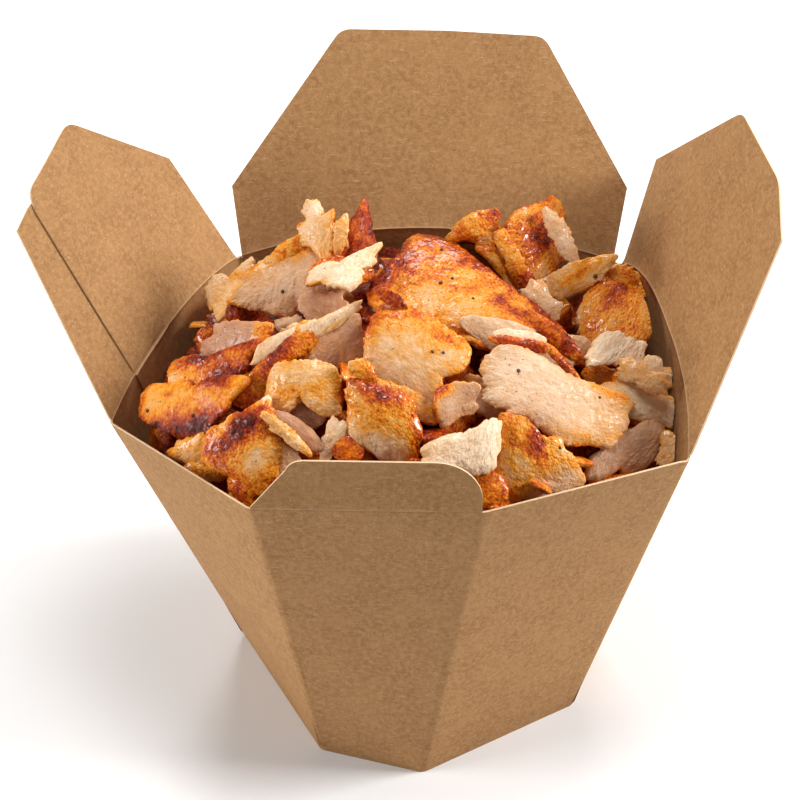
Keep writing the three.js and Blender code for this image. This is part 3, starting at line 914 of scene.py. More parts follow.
SLICES = {
    "slice_crown": Slice((14, 0, 112), (0, 15, -30), (46, 24, 3.5), -0.3, 0.2, 40, 40, 0.5),
    "slice_front_pale": Slice((8, -41, 102), (55, -5, 15), (17, 10, 3), 0.3, 0.5, 15, 25, 0.8),
    "slice_big_pale": Slice((29, -26, 106), (30, 25, -5), (37, 15, 3), 0, 0.3, 25, 20, 0.8),
    "slice_front_brown": Slice((25, -38, 98), (60, 15, 10), (18, 18, 3), -0.2, -0.2, 35, 45, 0.7),
    "slice_upper_left": Slice((-31, 6, 113), (25, -15, 10), (27, 15, 3), 0.6, 0.2, 15, 45, 0.7),
    "slice_top_right": Slice((27, 22, 112), (35, 30, 25), (20, 20, 3.5), 0.3, 0.4, 40, 30, 0.8),
    "slice_right_curl": Slice((46, 10, 104), (10, 15, 25), (23, 26, 3), 0, 0.7, 60, 35, 0.9),
    "slice_centre": Slice((-2, -21, 113), (35, 15, -25), (23, 18, 3), 0.1, -0.1, 20, 45, 0.7),
    "slice_cup_rim": Slice((-26, -29, 109), (50, -10, -10), (17, 14, 3), 0, 0, 80, 30, 0.8),
    "slice_front_crust": Slice((-9, -35, 107), (55, 15, -15), (17, 14, 3), 0.1, -0.4, 50, 50, 0.6),
    "slice_charred": Slice((-39, -37, 101), (55, 0, -25), (18, 16, 3.5), 0.2, 0, 50, 50, 0.8),
    "slice_flake_back": Slice((-18, 0, 121), (10, -10, 10), (16, 7, 2), 0.3, 0.4, 10, 10, 0.8),
    "slice_flake_right": Slice((43, -11, 105), (35, 20, 30), (17, 7, 2), 0.1, 0.9, 10, 15, 0.8),
    "slice_pale_stalk": Slice((-25, -15, 114), (60, -20, 20), (26, 4, 2), -0.3, 0.9, 10, 25, 0.5),
    "slice_left_gold": Slice((-53, -21, 98), (45, -25, -30), (29, 13, 3), 0.1, 0.1, 15, 30, 0.4),
    "slice_left_red": Slice((-48, -15, 104), (40, -25, -25), (23, 9, 2.5), 0.2, 0.2, 15, 30, 0.5),
    "slice_arch": Slice((15, 20, 113), (15, 20, 20), (16, 16, 3), 0.7, 0, 90, 15, 0.5),
    "slice_thin_right": Slice((35, 12, 108), (45, -20, 20), (21, 7, 2), 0, 0, 10, 25, 0.5),
    "slice_dark_back": Slice((-14, 13, 119), (25, -15, 25), (7, 12, 2.5), 0.2, 0.4, 15, 25, 0.6),
    "slice_spikes": Slice((-24, 13, 122), (40, -20, -20), (10, 9, 2), 0.1, 0, 15, 15, 0.6),
    "slice_pink": Slice((-19, -16, 111), (60, -15, 15), (13, 11, 2.5), 0.2, 0.3, -20, 25, 0.5),
    "slice_crescent": Slice((8, -30, 107), (55, -5, 20), (10, 8, 2.5), -0.2, 0.3, -25, 25, 0.5),
    "slice_right_brown": Slice((51, -19, 96), (45, 35, 5), (20, 8, 2.5), 0, -0.1, 20, 25, 0.7),
    "slice_right_edge": Slice((56, -10, 98), (40, 25, 10), (14, 6, 2), -0.5, -0.1, 15, 15, 0.9),
    "slice_front_right": Slice((45, -28, 91), (65, 10, 30), (20, 10, 3), -0.1, 0.4, 15, 25, 0.8),
    "slice_fringe": Slice((55, -25, 90), (40, -10, 10), (6, 8, 2), 0, 0.4, 10, 15, 0.9),
    "slice_grey": Slice((-42, -7, 106), (45, -20, -25), (19, 8, 2.5), -0.1, 0.1, 15, 25, 0.7),
    "slice_ragged_left": Slice((-44, 12, 107), (10, -30, 0), (14, 11, 2), -0.1, -0.1, 10, 15, 0.9),
    "scrap_left": Slice((-52, -29, 92), (65, -20, -25), (12, 6, 3), 0.2, 0.3, 30, 30, 0.9),
    "scrap_front": Slice((-39, -41, 92), (75, 5, -25), (6, 6, 3), 0.1, 0, 30, 30, 0.9),
    "scrap_tab": Slice((-19, -36, 102), (60, -10, 5), (5, 9, 2.5), 0, 0.3, 20, 20, 0.9),
}

# How far the scraps between the slices are tipped up at the back, in degrees from level.
LEANS_BACK = 48


def facing(incline):
    """Turns of a piece that leans back on the heap and whose length runs up at so many degrees."""
    slope, lean = math.radians(incline), math.radians(LEANS_BACK)
    along = (math.cos(slope), math.sin(slope) * math.cos(lean), math.sin(slope) * math.sin(lean))
    about_y = -math.asin(along[2])
    about_z = math.atan2(along[1], along[0])
    about_x = math.acos(min(1.0, math.cos(lean) / math.cos(about_y)))
    return tuple(math.degrees(turn) for turn in (about_x, about_y, about_z))


# Small scraps between the slices: middle, slope of the length, size, curl, cup and raggedness.
# They have no taper and no skew.
SCRAPS = {
    "tan_band": ((-4, -30, 108), -25, (19, 6, 2.2), 20, 20, 0.5),
    "under_lobe": ((15, -25, 104), -30, (9, 8, 2), 20, 20, 0.6),
    "dark_orange": ((-41, 3, 105), 10, (8, 6, 3), 30, 40, 0.6),
    "pale_scrap": ((-30, -2, 106), 15, (8, 4, 2), 20, 20, 0.9),
    "tab_pale": ((-30, -38, 98), 20, (8, 9, 2.5), 20, 20, 0.7),
    "mauve_low": ((-38, -20, 101), 15, (9, 8, 3), 30, 30, 0.5),
    "strip_low": ((14, -43, 94), -10, (9, 8, 3), 40, 40, 0.6),
    "left_low": ((-48, -34, 90), 0, (11, 6, 3), 40, 40, 0.9),
    "right_under": ((42, -14, 99), -20, (14, 7, 2.5), 20, 20, 0.7),
    "flake_tan": ((34, -7, 103), 5, (9, 7, 2.5), 30, 30, 0.8),
    "crust_ridge": ((-30, -19, 111), 45, (19, 6, 2.5), 25, 60, 0.5),
    "cup_lining": ((-26, -30, 105), -15, (11, 8, 2), -20, -20, 0.3),
    "cup_fold": ((-27, -35, 104), -35, (14, 5, 2), 20, 30, 0.3),
    "cup_fringe": ((-29, -37, 105), -40, (14, 3, 2), -15, 40, 1.0),
    "gold_scrap": ((-13, -27, 114), -25, (7, 4, 2), 30, 30, 1.0),
    "mid_dark": ((-16, -38, 101), 0, (7, 7, 3), 40, 30, 0.4),
    "arch_inside": ((16, 22, 106), -25, (19, 12, 2.5), -50, -30, 0.4),
    "arch_leg": ((22, 12, 112), -60, (19, 4, 2), 30, 50, 1),
    "arch_roof": ((12, 19, 118), 30, (15, 5, 2), 70, 40, 0.9),
    "tr_cut": ((32, 19, 115), -60, (16, 5, 2), 30, 30, 0.8),
    "flake_bed": ((-18, 3, 117), 0, (14, 7, 8), 20, 20, 0.6),
    "cream_clump": ((27, 2, 109), -55, (10, 6, 3), 40, 40, 1.2),
    "red_ridge": ((-7, -11, 121), -30, (9, 2.5, 1.8), 20, 50, 0.5),
    "curl_prong": ((51, 15, 105), -10, (11, 9, 2), 40, 25, 1.1),
    "crown_cut": ((21, -13, 110), -20, (27, 8, 1.5), 15, 25, 0.3),
    "crown_rim": ((29, -12, 111), -40, (19, 4, 2), 30, 60, 0.4),
    "folded_lip": ((21, -15, 113), -5, (12, 4, 1.6), 30, 50, 0.6),
    "lip_crust": ((21, -17, 113), -10, (14, 3.5, 1.8), 15, 50, 0.6),
    "lip_edge": ((30, -19, 110), -45, (12, 2.5, 1.8), 15, 50, 0.5),
    "spike_cream": ((-23, 18, 120), -60, (10, 4, 2), 20, 40, 1.2),
    "spike_right": ((-18, 9, 123), 80, (9, 3, 2), 20, 50, 1.1),
    "ul_ridge": ((-34, 9, 114), 40, (27, 5, 2.8), 10, 70, 0.7),
    "ul_lobe": ((-22, -2, 111), -10, (12, 8, 2), 30, 40, 0.8),
    "gold_low": ((-39, -41, 91), 80, (5, 5, 2), 20, 30, 0.6),
    "stalk_curl": ((-30, -7, 107), 50, (6, 3, 2), 30, 50, 0.7),
    "right_shred": ((54, -17, 104), -15, (12, 6, 1.8), 20, 30, 1.2),
    "back_bed": ((-19, 11, 115), 0, (16, 10, 6), 20, 20, 0.6),
}
SCRAPS = {
    name: Slice(at, facing(slope), size, 0, 0, curl, cup, ragged)
    for name, (at, slope, size, curl, cup, ragged) in SCRAPS.items()
}

# An outline is a rounded oblong with lobes (above 0) and notches (below 0): the direction of
# each in degrees from the slice's far end, its spread in degrees, and its share of the reach.
LEAF = [(45, 22, -0.25), (-45, 22, -0.2), (135, 22, -0.2), (-135, 22, -0.3)]
OUTLINES = {
    "slice_crown": [(150, 18, 0.2), (90, 38, -0.45), (-95, 30, 0.25), (35, 15, -0.1)],
    "slice_top_right": [(60, 18, 0.25), (-140, 30, -0.35), (-85, 15, 0.15), (-35, 20, -0.2)],
    "slice_arch": [(115, 22, 0.4), (-55, 25, 0.25), (-150, 40, -0.6)],
    "slice_thin_right": [
        (0, 15, 0.15), (180, 15, 0.1), (45, 20, -0.25), (-135, 20, -0.25), (-45, 20, -0.2),
    ],
    "slice_right_curl": [
        (0, 25, -0.35), (45, 15, 0.1), (-70, 20, 0.3), (145, 25, -0.25), (-145, 20, -0.2),
    ],
    "slice_flake_right": [(110, 22, 0.6), (-100, 35, -0.35), (55, 15, -0.15)],
    "slice_big_pale": [(-75, 15, 0.25), (85, 20, -0.2), (-150, 20, -0.2), (25, 15, -0.1)],
    "slice_crescent": [(100, 40, 0.2), (170, 25, 0.3), (-90, 40, -0.4), (0, 25, -0.3)],
    "slice_front_pale": [(130, 20, 0.5), (-105, 40, -0.45), (60, 25, 0.15), (180, 15, 0.1)],
    "slice_front_brown": [(75, 25, -0.4), (-25, 15, 0.3), (-150, 20, 0.2), (35, 20, -0.3)],
    "slice_front_right": [(65, 20, 0.2), (-100, 15, -0.3), (150, 20, -0.3), (-60, 12, 0.15)],
    "slice_fringe": [(70, 25, -0.35), (175, 25, -0.25), (-140, 15, 0.15), (20, 20, -0.3)],
    "slice_right_brown": [(130, 25, 0.25), (180, 15, 0.4), (-60, 30, -0.4), (75, 20, 0.1)],
    "slice_right_edge": [(95, 18, -0.6), (180, 15, 0.5), (-90, 30, -0.3), (50, 12, 0.1)],
    "slice_centre": [(-60, 18, 0.25), (110, 35, 0.15), (-15, 20, -0.3), (-135, 20, -0.15)],
    "slice_front_crust": [(-130, 18, 0.2), (-45, 18, 0.35), (0, 20, 0.1), (-90, 15, 0.3)],
    "slice_cup_rim": [(-90, 38, -0.85), (85, 30, 0.1), (-152, 10, 0.15), (-28, 10, 0.15)],
    "slice_pale_stalk": [(110, 25, 0.4), (-110, 40, -0.6), (180, 12, 0.15), (-20, 12, 0.1)],
    "slice_left_gold": [
        (35, 15, 0.25), (75, 10, -0.3), (-130, 25, -0.3), (-35, 20, -0.25), (-80, 15, 0.1),
    ],
    "slice_left_red": [(42, 14, 0.45), (90, 25, -0.4), (-45, 25, -0.3), (-135, 20, -0.15)],
    "slice_grey": [(50, 18, 0.15), (-125, 18, 0.15), (155, 25, -0.35), (-80, 20, 0.2)],
    "slice_ragged_left": [
        (-110, 12, 0.7), (85, 25, -0.75), (40, 12, 0.15), (-35, 25, -0.3), (140, 15, -0.1),
    ],
    "slice_upper_left": [(-95, 12, 0.2), (-75, 8, -0.15), (150, 20, -0.15), (-140, 20, -0.1)],
    "slice_spikes": [
        (98, 12, 0.45), (60, 10, -0.35), (-70, 18, 0.8), (140, 18, -0.4), (-150, 20, -0.2),
    ],
    "slice_dark_back": [(60, 20, 0.3), (-90, 30, 0.15), (140, 15, -0.1)],
    "slice_flake_back": [(98, 28, -0.65), (-80, 18, 0.8), (38, 10, 0.25), (-40, 15, -0.3)],
    "slice_charred": [(80, 15, 0.4), (40, 15, -0.25), (140, 20, -0.3)],
    "scrap_tab": [(100, 18, 0.15), (-150, 15, 0.3), (-70, 28, -0.5)],
    "scrap_left": [(60, 18, 0.4), (140, 25, -0.45), (-110, 40, -0.4)],
    "crust_ridge": [(90, 40, 0.15), (-90, 30, -0.25)],
    "arch_inside": [(-30, 20, 0.1), (60, 30, -0.4), (150, 20, -0.1)],
    "arch_leg": [(90, 25, -0.2), (-45, 15, 0.1)],
    "cream_clump": [(60, 15, 0.2), (-100, 15, -0.3), (160, 15, 0.15)],
    "curl_prong": [(20, 12, 0.2), (-60, 25, -0.4), (150, 25, -0.3)],
    "spike_cream": [(0, 12, 0.3), (90, 20, -0.3), (-120, 12, 0.2)],
    "right_shred": [(0, 15, 0.2), (70, 20, -0.4), (-120, 20, -0.3)],
}

# How a slice is browned: its upper and lower skins, from 0 for pale to 1 for charred, how much
# browner its edge is, how mauve its pale parts are, spots (middle u and v, reach along u and v, how
# much browner), and how granular it is.
Look = namedtuple("Look", "upper lower edge mauve spots grain")
LOOKS = {
    "slice_crown": Look(0.34, 0.15, 0.1, 0.1, [
        (-0.85, 0.6, 0.5, 0.5, 0.14), (-0.2, 0.6, 0.6, 0.2, 0.2), (0.5, 0.5, 0.4, 0.2, 0.2),
        (-1, -0.3, 0.3, 0.6, 0.2), (0.2, 0, 0.4, 0.2, 0.12), (-0.3, -0.6, 0.3, 0.2, -0.1),
        (0.5, -0.7, 0.3, 0.2, -0.16), (0.9, 0.4, 0.3, 0.3, 0.2),
    ], 0.9),
    "slice_top_right": Look(0.44, 0.2, 0.08, 0.5, [
        (0, 0, 0.4, 0.4, 0.2), (-0.8, 0.5, 0.4, 0.5, -0.06), (0.3, -0.75, 0.3, 0.2, -0.2),
        (0.6, 0.1, 0.2, 0.6, -0.08),
    ], 1),
    "slice_arch": Look(0.4, 0.8, -0.06, 0.1, [
        (-0.9, 0.8, 0.3, 0.3, -0.06), (0.5, 1, 0.3, 0.3, 0.16),
    ], 0.9),
    "slice_thin_right": Look(0.22, 0.4, 0, 0, [
        (-0.2, 1.3, 0.9, 0.2, -0.14), (0.7, 0.9, 0.35, 0.4, 0.12), (0.2, 0.1, 0.7, 0.3, 0.14),
    ], 0.6),
    "slice_right_curl": Look(0.38, 0.6, -0.04, 0.4, [
        (-0.15, 0.1, 0.26, 0.36, 0.2), (0.15, 0.4, 0.25, 0.3, 0.16), (-0.3, 0.6, 0.5, 0.25, 0.08),
        (-1.1, -0.2, 0.25, 0.7, -0.2), (0.6, -0.1, 0.14, 0.8, -0.1),
    ], 0.9),
    "slice_flake_right": Look(0.03, 0.2, 0.12, 0, [], 1),
    "slice_big_pale": Look(0.08, 0.1, 0.1, 0.35, [
        (0.8, 0, 0.4, 1, 0.13), (0.5, -0.9, 0.5, 0.3, 0.14), (0.5, 0.7, 0.4, 0.2, 0.25),
        (-1.1, 0, 0.2, 0.5, 0.06),
    ], 0.6),
    "slice_crescent": Look(0.16, 0.2, 0.1, 0.7, [
        (-0.8, 0.9, 0.6, 0.35, 0.34), (-1.3, 0, 0.25, 0.6, 0.3),
    ], 0.3),
    "slice_front_pale": Look(0.03, 0.1, 0.1, 0, [(-1, 0.7, 0.4, 0.4, 0.1)], 0.9),
    "slice_front_brown": Look(0.34, 0.3, 0.02, 0.2, [
        (-0.1, 0.4, 0.25, 0.4, 0.28), (0.6, -0.65, 0.6, 0.5, -0.24), (0, -0.85, 0.4, 0.3, -0.15),
    ], 0.9),
    "slice_front_right": Look(0.1, 0.3, 0.06, 0.7, [(0, -0.9, 0.9, 0.16, 0.22)], 0.8),
    "slice_fringe": Look(0.18, 0.4, 0.1, 0, [], 1),
    "slice_right_brown": Look(0.08, 0.3, 0.14, 0, [
        (0, 0.9, 0.9, 0.3, 0.16), (-1.2, 0.6, 0.4, 0.4, 0.15),
    ], 0.8),
    "slice_right_edge": Look(0.1, 0.3, 0.08, 0.1, [(0.6, 0.4, 0.5, 0.6, 0.15)], 1),
    "slice_centre": Look(0.28, 0.2, 0.06, 0.1, [
        (0, 0.85, 1, 0.35, 0.1), (0.4, 0.65, 0.35, 0.2, 0.14), (-1, 0.3, 0.2, 0.6, 0.2),
        (0, -0.5, 0.9, 0.6, -0.14),
    ], 0.5),
    "slice_front_crust": Look(0.36, 0.3, 0.04, 0, [
        (0.1, 0.75, 0.8, 0.3, 0.26), (1, -0.2, 0.2, 0.6, 0.16), (0, -0.8, 0.9, 0.6, -0.3),
    ], 0.9),
    "slice_cup_rim": Look(0.2, 0.5, 0.08, 0, [
        (0, 0.1, 0.7, 0.2, 0.12), (-0.95, -0.2, 0.3, 0.6, 0.16), (0.85, 0.1, 0.35, 0.5, 0.14),
    ], 1),
    "slice_pale_stalk": Look(0.08, 0.2, 0.14, 0, [(0.4, -0.4, 0.8, 0.3, 0.2)], 0.9),
    "slice_left_gold": Look(0.36, 0.6, 0.06, 0, [
        (0, -0.75, 1.3, 0.5, 0.34), (0.55, 0.85, 0.4, 0.3, 0.25), (0.7, -0.3, 0.4, 0.4, 0.2),
        (-0.7, 0.5, 0.5, 0.4, -0.02),
    ], 0.45),
    "slice_left_red": Look(0.46, 0.5, 0.04, 0, [
        (-0.2, 0.5, 0.6, 0.3, 0.24), (0.75, 0.9, 0.4, 0.3, 0.25), (0.6, -0.4, 0.4, 0.4, 0.3),
        (-0.8, -0.5, 0.4, 0.4, -0.3),
    ], 0.7),
    "slice_grey": Look(0.14, 0.2, 0.04, 1, [(0.9, 0.3, 0.4, 0.8, 0.3), (0, 0.9, 0.8, 0.15, 0.08)], 1),
    "slice_ragged_left": Look(0.17, 0.2, 0.08, 0, [
        (-1, 0.7, 0.3, 0.3, 0.14), (0.1, 0.1, 0.3, 0.25, 0.14),
    ], 1),
    "slice_upper_left": Look(0.17, 0.2, 0.08, 0.55, [
        (0, 0.7, 1.3, 0.3, 0.24), (-0.2, 0.95, 1, 0.15, 0.14), (0, -0.5, 1, 0.5, -0.06),
        (-0.95, 0, 0.2, 0.5, 0.12), (0.45, 0.45, 0.3, 0.2, 0.1),
    ], 0.9),
    "slice_spikes": Look(0.18, 0.3, 0.1, 0, [
        (-0.9, 0.35, 0.3, 0.3, 0.3), (0, 1.05, 0.4, 0.5, -0.16), (1.1, 0.4, 0.3, 0.6, 0.14),
        (0.7, -0.8, 0.3, 0.6, 0.1),
    ], 1),
    "slice_dark_back": Look(0.6, 0.6, 0.04, 0, [
        (0.7, 1, 0.6, 0.3, -0.15), (-0.4, -0.6, 0.5, 0.5, 0.08),
    ], 0.3),
    "slice_flake_back": Look(0.05, 0.15, 0.14, 0, [
        (-0.6, -1, 0.5, 0.3, 0.14), (0.9, 0.7, 0.5, 0.4, 0.06),
    ], 1),
    "slice_pink": Look(0.18, 0.4, 0, 0.9, [
        (-0.9, 0.7, 0.4, 0.4, 0.2), (0.2, -0.9, 0.6, 0.3, 0.2),
    ], 0.35),
    "slice_charred": Look(0.42, 0.3, -0.04, 0.1, [
        (-0.02, 0.6, 0.3, 0.5, 0.35), (-0.4, -0.1, 0.2, 0.3, 0.25), (0.2, 0.9, 0.25, 0.3, 0.12),
        (-0.22, 0.25, 0.22, 0.3, 0.2), (0.5, -0.1, 0.35, 0.4, -0.24), (-0.7, -0.3, 0.25, 0.5, 0.1),
        (0.7, -0.85, 0.35, 0.16, 0.06), (0.05, 1.4, 0.6, 0.16, -0.5), (-0.55, 0.65, 0.15, 0.5, -0.25),
    ], 0.9),
    "scrap_tab": Look(0.08, 0.2, 0.08, 0, [], 1),
    "scrap_left": Look(0.28, 0.3, 0.08, 0.1, [], 1),
    "scrap_front": Look(0.42, 0.6, 0.04, 0, [], 0.9),
    "tan_band": Look(0.26, 0.3, 0.06, 0.4, [], 0.6),
    "under_lobe": Look(0.12, 0.2, 0.04, 0.5, [], 0.3),
    "dark_orange": Look(0.66, 0.6, 0.0, 0, [], 0.6),
    "pale_scrap": Look(0.1, 0.2, 0.06, 0.4, [], 0.9),
    "tab_pale": Look(0.16, 0.2, 0.1, 0.3, [], 0.9),
    "mauve_low": Look(0.45, 0.5, 0.0, 0.9, [], 0.4),
    "strip_low": Look(0.5, 0.5, 0.0, 0, [], 0.6),
    "left_low": Look(0.3, 0.3, 0.06, 0, [], 1),
    "right_under": Look(0.4, 0.4, 0.04, 0.2, [], 0.6),
    "flake_tan": Look(0.14, 0.2, 0.04, 0.4, [], 0.8),
    "crust_ridge": Look(0.36, 0.5, -0.04, 0, [(-0.5, 0, 0.4, 1, 0.2), (0.1, 0.5, 0.4, 0.8, 0.2)], 0.9),
    "cup_lining": Look(0.16, 0.3, 0, 1, [], 0.3),
    "cup_fold": Look(0.14, 0.3, 0.04, 0.9, [], 0.3),
    "cup_fringe": Look(0.24, 0.3, 0.02, 0, [], 1),
    "gold_scrap": Look(0.36, 0.3, -0.06, 0, [(0.3, 0, 0.4, 0.8, 0.1)], 1),
    "mid_dark": Look(0.56, 0.5, 0, 0.9, [], 0.4),
    "arch_inside": Look(0.2, 0.3, 0, 1.2, [(-0.5, 0.6, 0.4, 0.4, 0.4), (-1, 0, 0.2, 0.5, 0.15)], 0.4),
    "arch_leg": Look(0.4, 0.5, -0.12, 0, [(0.5, 0, 0.3, 2, 0.2)], 0.8),
    "arch_roof": Look(0.38, 0.5, -0.06, 0, [(0.8, 0, 0.3, 0.6, 0.25)], 0.9),
    "tr_cut": Look(0.14, 0.2, 0.1, 0.3, [], 0.8),
    "flake_bed": Look(0.45, 0.5, 0, 0.4, [], 0.6),
    "cream_clump": Look(0.12, 0.2, 0.04, 0.3, [(-0.7, 0.5, 0.3, 0.5, 0.2)], 1),
    "red_ridge": Look(0.6, 0.6, -0.1, 0.2, [], 0.8),
    "curl_prong": Look(0.4, 0.5, -0.08, 0, [], 0.9),
    "crown_cut": Look(0.1, 0.1, 0, 0.25, [], 0.2),
    "crown_rim": Look(0.5, 0.5, 0, 0, [(0.5, 0.5, 0.5, 0.8, 0.1)], 0.6),
    "folded_lip": Look(0.04, 0.1, 0.04, 0, [], 0.4),
    "lip_crust": Look(0.5, 0.5, -0.15, 0.3, [(0, 0, 1, 0.5, 0.15)], 0.6),
    "lip_edge": Look(0.5, 0.5, -0.2, 0.3, [], 0.6),
    "spike_cream": Look(0.08, 0.1, 0.14, 0, [], 0.8),
    "spike_right": Look(0.22, 0.3, -0.04, 0, [], 0.8),
    "ul_ridge": Look(0.24, 0.3, 0.06, 0, [(0.4, 0, 0.4, 0.5, 0.1)], 0.8),
    "ul_lobe": Look(0.14, 0.2, 0.03, 0.7, [], 0.7),
    "gold_low": Look(0.3, 0.3, -0.06, 0, [], 0.8),
    "stalk_curl": Look(0.18, 0.3, 0.08, 0, [], 1),
    "right_shred": Look(0.24, 0.3, 0.02, 0.3, [], 1),
    "back_bed": Look(0.55, 0.5, 0, 0.2, [], 0.6),
}

# What makes a slice uneven, each with its size in millimetres and its strength: the torn edge, the
# thickness, the sheet, the skins and the browning.
TEETH, SMALL_TEETH = (2.8, 0.55), (1.4, 0.5)
LUMPS = (6.0, 0.15)
WAVES, RIPPLES = (7.5, 0.8), (2.7, 0.5)
STRANDS = (0.9, 0.07)
BROWN_PATCHES, BROWN_FLECKS = (3.2, 0.09), (1.4, 0.06)
# Sizes of the grains on its edge and skins, and how brown a skin must be to blister.
EDGE_BEADS, BLISTERS, GRANULES = 1.1, 2.2, 1.0
BLISTERED_FROM = 0.45
EDGE_BROWN_FROM = 0.75
UNDER_SHARE = 0.3
# How far apart in the patterns one slice is from the next.
RIM_PATTERN_STEP = 40.0
PATTERN_STEP = 30
LEAST_CELLS, MOST_CELLS = 6, 130
CORNER_POWER = 5
# The rim's lines and its radius, the thickness at the edge as a share, and how far in it is whole.
RIM_LINES = np.array([0, 0.08, 0.25, 0.5])
RIM = 0.55
EDGE_SHARE = 0.55
FULL_FROM = 4.0
# The mesh's step, in millimetres, and the seeds of the loose pieces.
SLICE_STEP = 0.34
FILLER_STEP = 0.72
SCRAP_SEED = 60
FILLER_SEED = 100
WALL_SAMPLE = 5
# How far a wall's plane reaches over its top, and how clear the meat stays of walls and folded flaps.
WALL_OVERLAP = 0.5
MEAT_GAP = 0.3
FLAP_GAP = 0.8
POINT_PASSES = 3
SCRAP_PASSES = 4


def turned(degrees):
    """The matrix of turns about X, then Y, then Z."""
    a, b, c = np.radians(degrees)
    about_x = np.array([[1, 0, 0], [0, np.cos(a), -np.sin(a)], [0, np.sin(a), np.cos(a)]])
    about_y = np.array([[np.cos(b), 0, np.sin(b)], [0, 1, 0], [-np.sin(b), 0, np.cos(b)]])
    about_z = np.array([[np.cos(c), -np.sin(c), 0], [np.sin(c), np.cos(c), 0], [0, 0, 1]])
    return about_z @ about_y @ about_x


def ruling(extent, step):
    """Lines across a slice from -1 to 1, closer together where its rim is rounded."""
    rim = 1 - RIM_LINES / (extent / 2)
    count = int(np.clip((extent - 2 * RIM_LINES[-1]) / step, LEAST_CELLS, MOST_CELLS))
    inner = np.linspace(-rim[-1], rim[-1], count + 1)
    return np.concatenate([-rim[:-1], inner, rim[-2::-1]])


def plain_reach(angle):
    """How far a rounded square stands from its middle in each direction."""
    across, up = np.abs(np.cos(angle)), np.abs(np.sin(angle))
    return (across ** CORNER_POWER + up ** CORNER_POWER) ** (-1 / CORNER_POWER)


def lobed_reach(angle, bumps):
    """How far an outline stands from its middle in each direction."""
    reach = plain_reach(angle)
    for towards, spread, share in bumps:
        apart = (angle - math.radians(towards) + math.pi) % (2 * math.pi) - math.pi
        reach = reach * (1 + share * np.exp(-(apart / math.radians(spread)) ** 2))
    return reach


def uneven(kind, points, seed):
    size, strength = kind
    return strength * swells(points, size, seed)


def slice_mesh(shape, seed, look, bumps=(), step=SLICE_STEP):
    """Points, faces and painted values of one slice, in millimetres from the foot's middle."""
    length, width, thick = shape.size
    x, y = np.meshgrid(ruling(length, step), ruling(width, step), indexing="ij")
    out = np.maximum(np.abs(x), np.abs(y))
    angle = np.arctan2(y, x)
    reach = lobed_reach(angle, bumps)
    ray = np.stack([np.cos(angle), np.sin(angle)], -1)
    scale = np.hypot(length / 2 * ray[..., 0], width / 2 * ray[..., 1])
    rim = ray * reach[..., None] * (length / 2, width / 2)
    rim = np.concatenate([rim, np.full(rim.shape[:-1] + (1,), RIM_PATTERN_STEP * seed)], -1)
    beads = grains(rim, EDGE_BEADS, seed + 7) - 0.45
    teeth = uneven(TEETH, rim, seed) + uneven(SMALL_TEETH, rim, seed + 1)
    teeth = teeth + (0.6 + 0.9 * look.grain) * beads
    reach = reach + shape.ragged * teeth * out ** 5 / scale
    u, v = (ray[..., a] * out * reach for a in (0, 1))
    flat = np.stack([u * length / 2, v * width / 2, 0 * u + PATTERN_STEP * seed], -1)
    inward_by = (1 - out) * reach * scale
    full = np.clip(inward_by / FULL_FROM, 0, 1)
    grain = np.clip(look.grain + 0.6 * (1 - full) ** 2, 0, 1)
    round_off = np.sqrt(1 - (1 - np.clip(inward_by / RIM, 0, 1)) ** 2)
    lumps = 1 + uneven(LUMPS, flat, seed + 5)
    body = (thick / 2) * mix(EDGE_SHARE, 1.0, full * (2 - full)) * lumps
    sheet = uneven(WAVES, flat, seed + 2) * (0.3 + 0.7 * out ** 2)
    sheet = sheet + uneven(RIPPLES, flat, seed + 9) * out ** 3
    layers, browns = [], []
    for side in (1, -1):
        brown = browned(u, v, out, flat, seed, look, side)
        skin = flat + (0, 0, 7 * side)
        blister = grains(skin, BLISTERS, seed + 3) ** 2 * np.clip(brown - BLISTERED_FROM, 0, 0.4) * 2
        granule = (grains(skin, GRANULES, seed + 4) - 0.5) * (0.05 + 0.34 * grain)
        strands = uneven(STRANDS, skin * (0.2, 1, 1), seed + 6) * (1 - grain)
        lift = sheet + side * (body + blister + granule + strands) * round_off
        layers.append(bent(shape, u, v, lift))
        browns.append(brown.ravel())
    onrim = out > 1 - 1e-9
    layers[1][onrim] = layers[0][onrim]
    count = x.size
    index = np.arange(count).reshape(x.shape)
    under = np.where(onrim, index, index + count)
    faces = []
    for grid, order in ((index, (0, 1, 2, 3)), (under, (3, 2, 1, 0))):
        corners = grid_corners(grid)
        faces.append(np.stack([corners[k] for k in order], -1).reshape(-1, 4))
    points = np.concatenate([layer.reshape(-1, 3) for layer in layers])
    points = points @ turned(shape.turn).T + shape.at
    laid = np.concatenate([(flat + (0, 0, 9)).reshape(-1, 3), flat.reshape(-1, 3)])
    mauve = np.full(2 * count, look.mauve)
    grain = np.tile(grain.ravel(), 2)
    return tidy_points(points, np.concatenate(faces), np.concatenate(browns), mauve, grain, laid)


def bent(shape, u, v, lift):
    """Places on a slice's flat sheet, lifted off it and bent along and across."""
    length, width, _ = shape.size
    curl, cup = math.radians(shape.curl) or 1e-3, math.radians(shape.cup) or 1e-3
    bow, bend = width / cup, length / curl
    tapered = v * (1 + shape.taper * u)
    across = (bow + lift) * np.sin(tapered * cup / 2)
    height = (bow + lift) * np.cos(tapered * cup / 2) - bow
    slid = u + shape.skew * v * width / length
    ahead = (bend + height) * np.sin(slid * curl / 2)
    top = (bend + height) * np.cos(slid * curl / 2) - bend
    return np.stack([ahead, across, top], -1)


